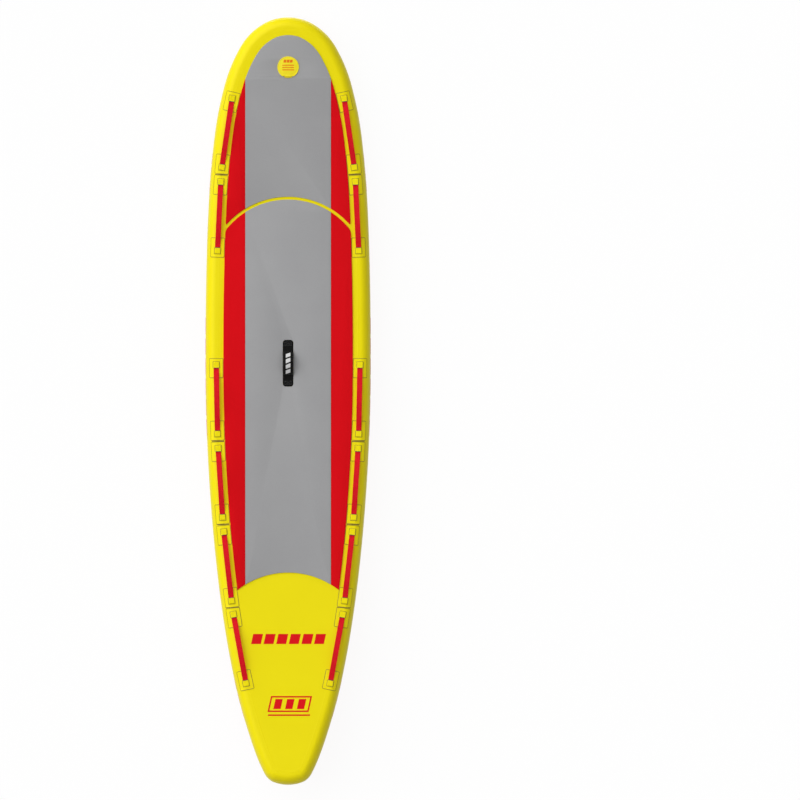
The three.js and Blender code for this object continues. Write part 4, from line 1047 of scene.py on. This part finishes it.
def anchor(mouth, inwards, across):
    """Welded patch centred on the pocket's mouth, the pocket sewn on it, and the lines round both."""
    front, rear = (inset_at(mouth[1] + way * PATCH[1] / 2, STRAP_INSET) for way in (1, -1))
    angle = math.atan2(rear[0] - front[0], front[1] - rear[1])
    c, s = math.cos(angle), math.sin(angle)
    turn = np.array([[c, s], [-s, c]])
    loop = facing_left(rounded_rectangle(*PATCH, steps=5)) @ turn + mouth
    cuts = [(np.arange(-28, 29, 7), turn[0], mouth), (np.arange(-42, 43, 12), turn[1], mouth)]
    patch = draped(plate([loop], PATCH_THICK, 0.5, 2, cuts), SEAT)
    # The line across the pocket's mouth, where the dark bar tack is also painted shadow of the opening.
    lip = mouth + 0.3 * inwards + np.linspace(-12.6, 12.6, 5)[:, None] * across

    def open_square(half, near, far):
        return np.array([mouth + a * inwards + b * across
                         for a, b in ((near, -half), (far, -half), (far, half), (near, half))])

    lines = {
        "weld": on_patch(np.vstack([loop, loop[:1]]), WELD_LIFT),
        "edge": on_patch(open_square(POCKET_HALF - 0.4, 0.6, POCKET_LENGTH - 0.4), EDGE_LIFT),
        "seam": on_patch(open_square(POCKET_HALF - 1.3, 1.5, POCKET_LENGTH - 1.6), SEAM_LIFT),
        "lip": np.column_stack([lip, np.full(5, deck_height(mouth[1]) + POCKET_TOP + 0.1)]),
    }
    return together([patch, pocket(mouth, inwards, across)]), lines


def make_grab_straps():
    lines = {kind: [] for kind in ("weld", "edge", "seam", "lip", "lap")}
    for number, share in enumerate(STRAP_SHARES, 1):
        y = from_nose(share * BOARD_LENGTH)
        front, rear = (inset_at(y + way * STRAP_SPAN / 2, STRAP_INSET) for way in (1, -1))
        centre, along = (front + rear) / 2, front - rear
        half = np.linalg.norm(along) / 2
        along = along / (2 * half)
        for end, mouth, inwards in (("front", front, along), ("rear", rear, -along)):
            (corners, faces), round_it = anchor(mouth, inwards, right_of(along))
            for side, sign in SIDES:
                flip = np.array([sign, 1, 1])
                piece(f"anchor_{end}_{side}_{number}_fabric", (corners * flip, faces), yellow_fabric,
                      f"grab_strap_anchor_{end}_{side}_{number}", sharp=50)
                for kind, path in round_it.items():
                    lines[kind].append(path * flip)
        # Where two patches meet, a dark bead is laid as painted shadow of the gap between them.
        if number + 1 in STRAPS_THAT_MEET:
            middle = (y + from_nose(STRAP_SHARES[number] * BOARD_LENGTH)) / 2
            ends = [inset_at(middle, STRAP_INSET + k) for k in (-LAP_HALF, LAP_HALF)]
            lap = on_patch(np.array(ends), WELD_LIFT)
            lines["lap"] += [lap, lap * (-1, 1, 1)]
        tuck = half + STRAP_TUCK
        places = np.concatenate([[-tuck], np.linspace(-half - 4, half + 4, 61), [tuck]])
        for side, sign in SIDES:
            strap_band(f"grab_strap_{side}_{number}", centre * (sign, 1), along * (sign, 1), places,
                       strap_section(STRAP_HALF, STRAP_THICK), WEB_UNDER, strap_rise(half), red_webbing,
                       f"grab_strap_webbing_{side}_{number}")
    # A darker line round each patch, partly its weld and partly painted shade at the patch's raised edge.
    bead("strap_weld_and_shade_lines", 1.5, 0.8, lines["weld"], weld_and_edge_shade_line)
    # Painted shadow of the gap between patches that meet.
    bead("strap_patch_gap_shadows", 1.9, 0.9, lines["lap"], gap_shadow_line)
    # The same darker line round each pocket's edge, partly painted shade at the pocket's raised rim.
    bead("strap_pocket_edges", 1.15, 0.6, lines["edge"], weld_and_edge_shade_line)
    # Bar tacks across the pockets' mouths, dark also as painted shadow of the openings.
    bead("strap_bar_tacks_and_mouth_shadows", 1.6, 0.6, lines["lip"], mouth_shadow_tack)
    stitching("strap_pocket_stitching", 3.4, 2.5, 0.42, lines["seam"], brown_thread)


make_grab_straps()


# Carry handle: a black base patch let into the main pad, an arched black web sewn down at both ends,
# and a padded neoprene sleeve round its middle, sewn along both edges.
HANDLE_PATCH_THICK = 1.4
HANDLE_HALF = 19
HANDLE_THICK = 2.6
HANDLE_ARCH = 36
HANDLE_ARCH_HALF = 83
HANDLE_END = 103
HANDLE_UNDER = 2 * SEAT + HANDLE_PATCH_THICK
GRIP_LENGTH = 112
GRIP_WIDTH = 48
GRIP_THICK = 11
SEAM_SIDE = 20.5
SEAM_END = 52
TACK_SIDE, TACK_NEAR, TACK_FAR = 16, 85, 101


def handle_rise(place):
    bent = abs(place) < HANDLE_ARCH_HALF
    return HANDLE_ARCH * math.cos(math.pi * place / (2 * HANDLE_ARCH_HALF)) ** 2 if bent else 0.0


def neoprene(name, colour, shade):
    sponge = Finish(name, roughness=0.82, gloss=0.06)
    wear = sponge.noise(45, detail=5)
    sponge.colour(sponge.spread(wear, 0.45, 0.8, 0, 1), colour, shade)
    sponge.bump(sponge.cells(700), strength=0.5, distance=0.0005, invert=True)
    return sponge.material


black_fabric = coated_fabric("black_coated_fabric", paint(13, 13, 12), paint(21, 21, 20), 0.5, 0.06)
black_webbing = webbing("black_nylon_webbing", paint(20, 20, 19), paint(6, 6, 6), 1.9, 0.06)
black_neoprene = neoprene("black_neoprene", paint(14, 14, 13), paint(22, 22, 21))
grey_thread = thread("grey_bonded_thread", paint(92, 92, 92))
pale_film = film("pale_handle_film", paint(205, 205, 205))


def sleeve_height(side, pinch):
    """Height of the sleeve's upper face over its middle at an offset across it."""
    wide = GRIP_WIDTH / 2 - 0.6
    return pinch * (GRIP_THICK / 2) * max(0.0, 1 - abs(side / wide) ** 3.2) ** (1 / 2.2)


def sleeve_pinch(place):
    return 1 - 0.28 * abs(place / (GRIP_LENGTH / 2)) ** 5


def make_handle():
    outline = facing_left(rounded_rectangle(*HANDLE_PATCH)) + (0, HANDLE_Y)
    base = plate([outline], HANDLE_PATCH_THICK, 0.5)
    piece("handle_base_patch", draped(base, SEAT), black_fabric, "handle_base")
    strap_band("handle_strap", np.array([0.0, HANDLE_Y]), np.array([0.0, 1.0]),
               np.linspace(-HANDLE_END, HANDLE_END, 83), strap_section(HANDLE_HALF, HANDLE_THICK),
               HANDLE_UNDER, handle_rise, black_webbing, "handle_webbing")
    level = float(deck_height(HANDLE_Y))
    core = level + (HANDLE_UNDER + HANDLE_THICK / 2)

    def from_core(side, place, up):
        """A point across, along and up from the middle of the grip's web."""
        at = np.array([side, HANDLE_Y + place, core + handle_rise(place)])
        return at + leaning(handle_rise, place) * up

    def over_sleeve(side, place, lift=0.1):
        return from_core(side, place, sleeve_height(side, sleeve_pinch(place)) + lift)

    end = GRIP_LENGTH / 2
    sides = [math.sin(k) for k in np.linspace(-math.pi / 2, math.pi / 2, 21)]
    corners = []
    for place in (-end, *np.linspace(-end + 0.8, end - 0.8, 45), end):
        last = abs(place) > end - 0.1
        pinch = sleeve_pinch(place) * (0.8 if last else 1)
        wide = GRIP_WIDTH / 2 - (0.9 if last else 0.3 * (1 - pinch))
        for up, run in ((1, sides), (-1, sides[-2:0:-1])):
            corners += [from_core(wide * s, place, up * sleeve_height(wide * s * 0.985, pinch)) for s in run]
    sleeve = piece("handle_sleeve", (corners, capped_walls(47, 40)), black_neoprene,
                   "handle_grip", sharp=70)

    seams = [[over_sleeve(side, place) for place in np.linspace(-SEAM_END, SEAM_END, 53)]
             for side in (-SEAM_SIDE, SEAM_SIDE)]
    seams += [[over_sleeve(side, place) for side in np.linspace(-SEAM_SIDE, SEAM_SIDE, 31)]
              for place in (-SEAM_END, SEAM_END)]
    x, near, far = TACK_SIDE, TACK_NEAR, TACK_FAR
    box = [(-x, near), (x, near), (x, far), (-x, far), (-x, near), (x, far), (x, near), (-x, far)]
    for sign in (1, -1):
        tops = [(x, HANDLE_Y + sign * y, level + HANDLE_UNDER + HANDLE_THICK + 0.05) for x, y in box]
        seams += [[a, b] for a, b in zip(tops, tops[1:])]
    stitching("handle_stitching", 3.2, 2.4, 0.4, seams, grey_thread)
    marks = []
    for k in range(4):
        grid = [(-11 + 2.75 * j, 24 * (k - 1.5) - 8.5 + 17 * i / 8) for i in range(9) for j in range(9)]
        marks.append(([over_sleeve(side, place + side * 0.35, lift) for lift in (0.05, 0.35)
                       for side, place in grid], two_sheets(9, 9)))
    piece("handle_marks", together(marks), pale_film)


make_handle()


# Inflation valve: a flanged cup glued through the deck skin and held by a nut from inside, a sprung
# plunger, and a round lid that turns on two trunnions in the cup's ears.
LID_RADIUS = 51.5
LID_THICK = 3
LID_UNDER = 5.6
LID_TOP = LID_UNDER + LID_THICK
LID_CUT = -41.2
HINGE = (-44, 7.1)  # y and height of its pin, from the valve's middle
HINGE_BACK = -46.9
EAR_ROOM = 17.6
CUP_PROFILE = [(17.5, 2.3), (17.5, -20), (5.6, -20), (5.6, -23), (19.6, -23), (20, -22.6), (20, 0.3),
               (39.6, 0.3), (40, 0.7), (40, 2.3), (39.6, 2.7), (17.9, 2.7)]
SPRING_LOW = -19.7
SPRING_RADIUS = 6.2
SPRING_WIRE = 0.65
SPRING_RISE = 9.7
SPRING_TURNS = 4


def block(low, high, bevel):
    bm = bmesh.new()
    bmesh.ops.create_cube(bm, size=1)
    for vert in bm.verts:
        vert.co = [low[k] if vert.co[k] < 0 else high[k] for k in range(3)]
    bmesh.ops.bevel(bm, geom=bm.edges[:], offset=bevel, segments=2, affect="EDGES")
    return unpacked(bm)


def turned(profile, steps=64):
    """A part turned about the upright, from (radius, height) pairs that go once round its section."""
    radius, height = np.array(profile, float).T
    x, y = (np.outer(part, radius).ravel() for part in circle(steps).T)
    return np.column_stack([x, y, np.tile(height, steps)]), loop_walls(steps, len(profile), True)


def moved(shape, by):
    return shape[0] + by, shape[1]


def sideways(shape):
    """Lays a shape over, so that its height runs to the right and its plan stands upright."""
    return shape[0][:, [2, 0, 1]], shape[1]


def hinge_pin(radius, near, far, steps=24):
    pin = turned([(0, near), (radius, near), (radius, far), (0, far)], steps)
    return moved(sideways(pin), (0, *HINGE))


def seated(height, y):
    """The place of a fitting on the deck or hull, tilted as the kick is there."""
    tilt = math.atan2(float(height(y + 40) - height(y - 40)), 80)
    return Matrix.Translation((0, y, float(height(y)))) @ Matrix.Rotation(tilt, 4, "X")


def placed(parts, place):
    """Loose parts as one shape, moved to their place."""
    corners, faces = together(parts)
    return [place @ Vector(corner) for corner in corners], faces


def moulded_plastic(name, colour, roughness=0.42, gloss=0.4):
    """The mould leaves a fine grain, and handling leaves duller and darker patches."""
    shell = Finish(name, gloss=gloss)
    wear = shell.noise(90, detail=7, roughness=0.7)
    shell.join(shell.spread(wear, 0.3, 0.7, roughness - 0.07, roughness + 0.12), "Roughness")
    shell.colour(shell.spread(wear, 0.4, 1, 0, 0.5), colour, darker(colour, 0.86))
    shell.bump(shell.noise(1400), strength=0.2, distance=0.0001)
    return shell.material


def bright_steel(name, colour, shade, roughness=0.2):
    metal = Finish(name, metal=1.0)
    marks = metal.noise(160, detail=6)
    metal.join(metal.spread(marks, 0.3, 0.7, roughness - 0.06, roughness + 0.12), "Roughness")
    metal.colour(marks, colour, shade)
    return metal.material


yellow_plastic = moulded_plastic("yellow_moulded_plastic", paint(240, 222, 6))
white_plastic = moulded_plastic("white_moulded_plastic", paint(226, 226, 221))
steel = bright_steel("stainless_steel", paint(214, 217, 220), paint(186, 190, 194))
orange_print = film("orange_lid_print", paint(232, 120, 22))
VALVE_PLACE = seated(deck_height, VALVE_Y)


def rear_segment():
    """The part of the lid's circle behind the hinge, which stays fixed on the flange."""
    ring = circle(96)[:, ::-1] * LID_RADIUS
    ring = ring[ring[:, 1] < HINGE_BACK - 0.2]
    half = math.sqrt(LID_RADIUS**2 - HINGE_BACK**2)
    return facing_left(np.vstack([[(half, HINGE_BACK)], ring, [(-half, HINGE_BACK)]]))


def lid_outline():
    """The lid's circle, cut straight behind the hinge and notched round its two ears."""
    back = HINGE[0] + 0.1
    ends = math.atan2(math.sqrt(LID_RADIUS**2 - back**2), back)
    ring = turns(-ends, ends, 97)[:, ::-1] * LID_RADIUS
    notch = [(EAR_ROOM, back), (EAR_ROOM, LID_CUT), (-EAR_ROOM, LID_CUT), (-EAR_ROOM, back)]
    return facing_left(np.vstack([ring, notch]))


def make_valve_cup():
    foot = block((-17, HINGE_BACK - 3, 0.3), (17, -30, 2.4), 0.4)
    edge = block((-17, HINGE_BACK - 3, 0.3), (17, HINGE_BACK, LID_TOP), 0.3)
    segment = moved(plate([rear_segment()], LID_THICK, 0.6), (0, 0, LID_UNDER))
    ears = []
    for near, far in ((9, 17), (-17, -9)):
        ears += [block((near, -46.3, 0.3), (far, -41.7, HINGE[1]), 0.3), hinge_pin(2.3, near, far)]
    parts = [turned(CUP_PROFILE), foot, edge, segment, *ears]
    piece("valve_flange_and_cup", placed(parts, VALVE_PLACE), yellow_plastic,
          "valve_housing")


def make_valve_lid():
    outline = lid_outline()
    disc = moved(plate([outline], LID_THICK - 0.6, 0.3), (0, 0, LID_UNDER))
    rim = moved(plate([outline, drawn_in(outline, 4.5)[::-1]], 0.9, 0.5), (0, 0, LID_TOP - 0.9))
    neck = block((-8.7, HINGE[0], LID_UNDER + 0.1), (8.7, LID_CUT + 3, LID_TOP - 0.1), 0.3)
    parts = [disc, rim, neck, hinge_pin(2, -8.7, 8.7), hinge_pin(1, -16.7, 16.7, 16)]
    piece("valve_round_lid", placed(parts, VALVE_PLACE), yellow_plastic, "valve_lid",
          "valve_lid")
    marks = [bar(15 * k, 28.5, 12.5, 14) for k in (-1, 0, 1)] + [bar(0, y, 56, 4.4) for y in (9, -2, -13)]
    marks = [moved(plate([mark], 0.25, 0.05, 1), (0, 0, LID_TOP - 0.62)) for mark in marks]
    piece("valve_lid_marks", placed(marks, VALVE_PLACE), orange_print, body="valve_lid")


def make_valve_works():
    button = SPRING_LOW + 11 + SEAT
    plunger = turned([(0, -26.3), (11.6, -26.3), (12, -25.9), (12, -23.7), (11.6, -23.3), (3.6, -23.3),
                      (3.6, button), (8.2, button), (8.5, button + 0.3), (8.5, button + 2.7),
                      (8.2, button + 3), (0, button + 3)], 48)
    piece("valve_press_button", placed([plunger], VALVE_PLACE), white_plastic,
          "valve_plunger", "valve_plunger")
    recolour("valve_nut", white_plastic)
    whole = 2 * math.pi * SPRING_TURNS
    wire = [VALVE_PLACE @ Vector((SPRING_RADIUS * math.cos(a), SPRING_RADIUS * math.sin(a),
                                  SPRING_LOW + SPRING_WIRE + SPRING_RISE * a / whole))
            for a in np.linspace(0, whole, SPRING_TURNS * 28 + 1)]
    spring = bead("valve_coil_spring", SPRING_WIRE, SPRING_WIRE, [wire], steel)
    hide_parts("valve_spring")
    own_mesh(spring)


make_valve_cup()
make_valve_lid()
make_valve_works()


# Tow ring: a bent steel ring held under the nose by a loop of red webbing, which is sewn to a
# round patch of coated fabric that is welded to the nose panel.
TOW_Y = from_nose(173)
TOW_PLACE = seated(hull_height, TOW_Y)
TOW_BAR = (-16, -6.7)  # y and height of the ring's straight bar, from the patch's middle
TOW_WIRE = 3.2
TOW_RING_SIZE = (55, 48)
TOW_LOOP_WIDTH = 27
TOW_PATCH_RADIUS = 43
TOW_PATCH_THICK = 1.2
TOW_PATCH_LIFT = 2 * SEAT + 1.0
TOW_SEW_RADIUS = 40.4
TOW_WELD_RADIUS = 42.4


def make_tow_patch():
    middle = (0, TOW_Y)
    disc = plate([facing_left(circle(72) * TOW_PATCH_RADIUS + middle)], TOW_PATCH_THICK, 0.5,
                 cuts=[(np.arange(-36, 37, 8), (0, 1), middle)])
    outer = turns(0, math.radians(-155), 26) * (TOW_WIRE + 0.4 + 2.4) + TOW_BAR
    side = np.vstack([[(TOW_BAR[0] + 6, -2.7)], outer, [(-26, -5.1), (-29, -5.1), (-29, -2.7)]])
    eye = circle(36) * (TOW_WIRE + 0.4) + TOW_BAR
    loop = sideways(plate([facing_left(side), facing_left(eye)[::-1]], TOW_LOOP_WIDTH, 0.5, 2))
    loop = placed([moved(loop, (-TOW_LOOP_WIDTH / 2, 0, 0))], TOW_PLACE)
    shape = together([draped(disc, TOW_PATCH_LIFT, -1), loop])
    piece("tow_patch_and_loop", shape, red_fabric, "tow_ring_patch", sharp=40)


def make_tow_ring():
    """The ring is a straight bar with two tight bends and a round bow."""
    y, z = TOW_BAR
    half, rise, corner = TOW_RING_SIZE[0] / 2 - TOW_WIRE, TOW_RING_SIZE[1] - 2 * TOW_WIRE, 2 * TOW_WIRE
    t = np.linspace(0, 1, 9)[:, None]
    bend = (1 - t) ** 2 * (half - corner, 0) + 2 * t * (1 - t) * (half, 0) + t**2 * (half, corner)
    bow = turns(0, math.pi, 49) * half + (0, rise - half)
    path = np.vstack([bend, bow, (bend * (-1, 1))[::-1]])
    ahead = np.roll(path, -1, 0) - np.roll(path, 1, 0)
    ahead /= np.linalg.norm(ahead, axis=1)[:, None]
    corners = []
    for out, up in circle(20) * TOW_WIRE:
        for (px, py), (tx, ty) in zip(path, ahead):
            corners.append(TOW_PLACE @ Vector((px + ty * out, py + y - tx * out, z + up)))
    piece("tow_ring_steel", (corners, loop_walls(20, len(path), True)), steel,
          "tow_ring", "tow_ring")


def sew_tow_patch():
    seams = [[TOW_PLACE @ Vector((x, y, -5.2)) for y in (-28, -24.4)] for x in (-10.5, 10.5)]
    seams.append([TOW_PLACE @ Vector((x, -27.4, -5.2)) for x in np.linspace(-10.5, 10.5, 7)])
    ring = turns(0, 2 * math.pi, 91)
    sewn = laid(ring * TOW_SEW_RADIUS + (0, TOW_Y), TOW_PATCH_LIFT + TOW_PATCH_THICK, -1)
    edge = laid(ring * TOW_WELD_RADIUS + (0, TOW_Y), TOW_PATCH_LIFT + 0.8, -1)
    bead("tow_patch_weld", 1.3, 0.7, [edge], thread("rubbed_weld_line", paint(158, 60, 64)))
    stitching("tow_patch_stitching", 3.2, 2.3, 0.4, [*seams, sewn],
              thread("dark_red_thread", paint(120, 6, 12)))


make_tow_patch()
make_tow_ring()
sew_tow_patch()


# Fin: a charcoal slide-in box glued under the tail, a moulded raked fin with a key along its root,
# and a thumb lever pinned to the fin's tongue that locks it in the box.
BOX_REAR = -1503
PLATE_FACE = 112.1
PLATE_RIBS = (-52, -35, 35, 52)
KEY_HALF, KEY_LOW, KEY_HIGH = 12, 106.7, 111.7
NECK_FRONT = -1327.4
NECK_REAR = BOX_REAR + 0.4
TONGUE_LOW = 97.7
TONGUE_THICK = 4
LEVER_PIN = (BOX_REAR - 6, 102.2)
BLADE_ROOT = 147.2
BLADE_TOP = 105.1
BLADE_THICK = (10.6, 5)  # at the root and at the tip
BLADE_LEVELS = 30
BLADE_AROUND = 40


def merged_copy(node_name, name, material, body, bevel, angle=25):
    """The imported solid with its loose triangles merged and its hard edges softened."""
    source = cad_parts[node_name]
    bm = bmesh.new()
    bm.from_mesh(source.data)
    bmesh.ops.remove_doubles(bm, verts=bm.verts, dist=2e-6)
    bmesh.ops.dissolve_limit(bm, angle_limit=math.radians(1), verts=bm.verts, edges=bm.edges)
    hard = [edge for edge in bm.edges if len(edge.link_faces) == 2
            and edge.calc_face_angle(0) > math.radians(angle)]
    bmesh.ops.bevel(bm, geom=hard, offset=bevel / 1000, segments=2, affect="EDGES", clamp_overlap=True)
    mesh = bpy.data.meshes.new(name)
    bm.to_mesh(mesh)
    bm.free()
    piece(name, mesh, material, node_name, body, sharp=35)


def fin_blade():
    """The blade leans back and gets shorter and thinner from its root to its rounded tip."""
    corners = []
    for j in range(BLADE_LEVELS + 1):
        share = (j / BLADE_LEVELS) ** 0.85
        chord = BLADE_ROOT * (1 - 0.6 * share**1.6)
        middle = -1401 - 84 * share**1.5
        thick = (BLADE_THICK[0] + (BLADE_THICK[1] - BLADE_THICK[0]) * share) / 2
        if j == BLADE_LEVELS:
            chord, thick = chord - 5, thick * 0.62
        corners += [(thick * up, middle + chord / 2 * out, BLADE_TOP * (1 - share))
                    for out, up in circle(BLADE_AROUND)]
    return corners, capped_walls(BLADE_LEVELS + 1, BLADE_AROUND)


def make_fin():
    charcoal = moulded_plastic("charcoal_moulded_plastic", paint(55, 55, 55), 0.5, 0.14)
    rubbed = moulded_plastic("grey_rubbed_plastic", paint(72, 72, 73), 0.5, 0.14)
    black = moulded_plastic("black_moulded_plastic", paint(26, 26, 27), 0.46, 0.2)
    merged_copy("fin_box", "fin_slide_box", charcoal, "board", 0.5)
    ribs = [[(x, y, PLATE_FACE) for y in (BOX_REAR + 7, BOX_REAR + 199)] for x in PLATE_RIBS]
    bead("fin_box_ribs", 1.5, 0.6, ribs, rubbed)
    merged_copy("fin_lock_lever", "fin_thumb_lever", black, "fin_lock_lever", 0.4)
    key = block((-KEY_HALF, NECK_REAR, KEY_LOW), (KEY_HALF, NECK_FRONT, KEY_HIGH), 0.5)
    neck = block((-5.3, NECK_REAR, 98.1), (5.3, NECK_FRONT, KEY_LOW + 1), 0.3)
    front, rear = NECK_REAR + 12, BOX_REAR - 12
    side = np.array([(front, TONGUE_LOW), (front, KEY_LOW), (rear, KEY_LOW), (rear, TONGUE_LOW)])
    eye = circle(24) * 1.7 + LEVER_PIN
    tongue = sideways(plate([facing_left(side), facing_left(eye)[::-1]], TONGUE_THICK, 0.3, 2))
    shape = together([key, neck, moved(tongue, (-TONGUE_THICK / 2, 0, 0)), fin_blade()])
    piece("slide_in_fin", shape, black, "fin", "fin", sharp=45)


make_fin()
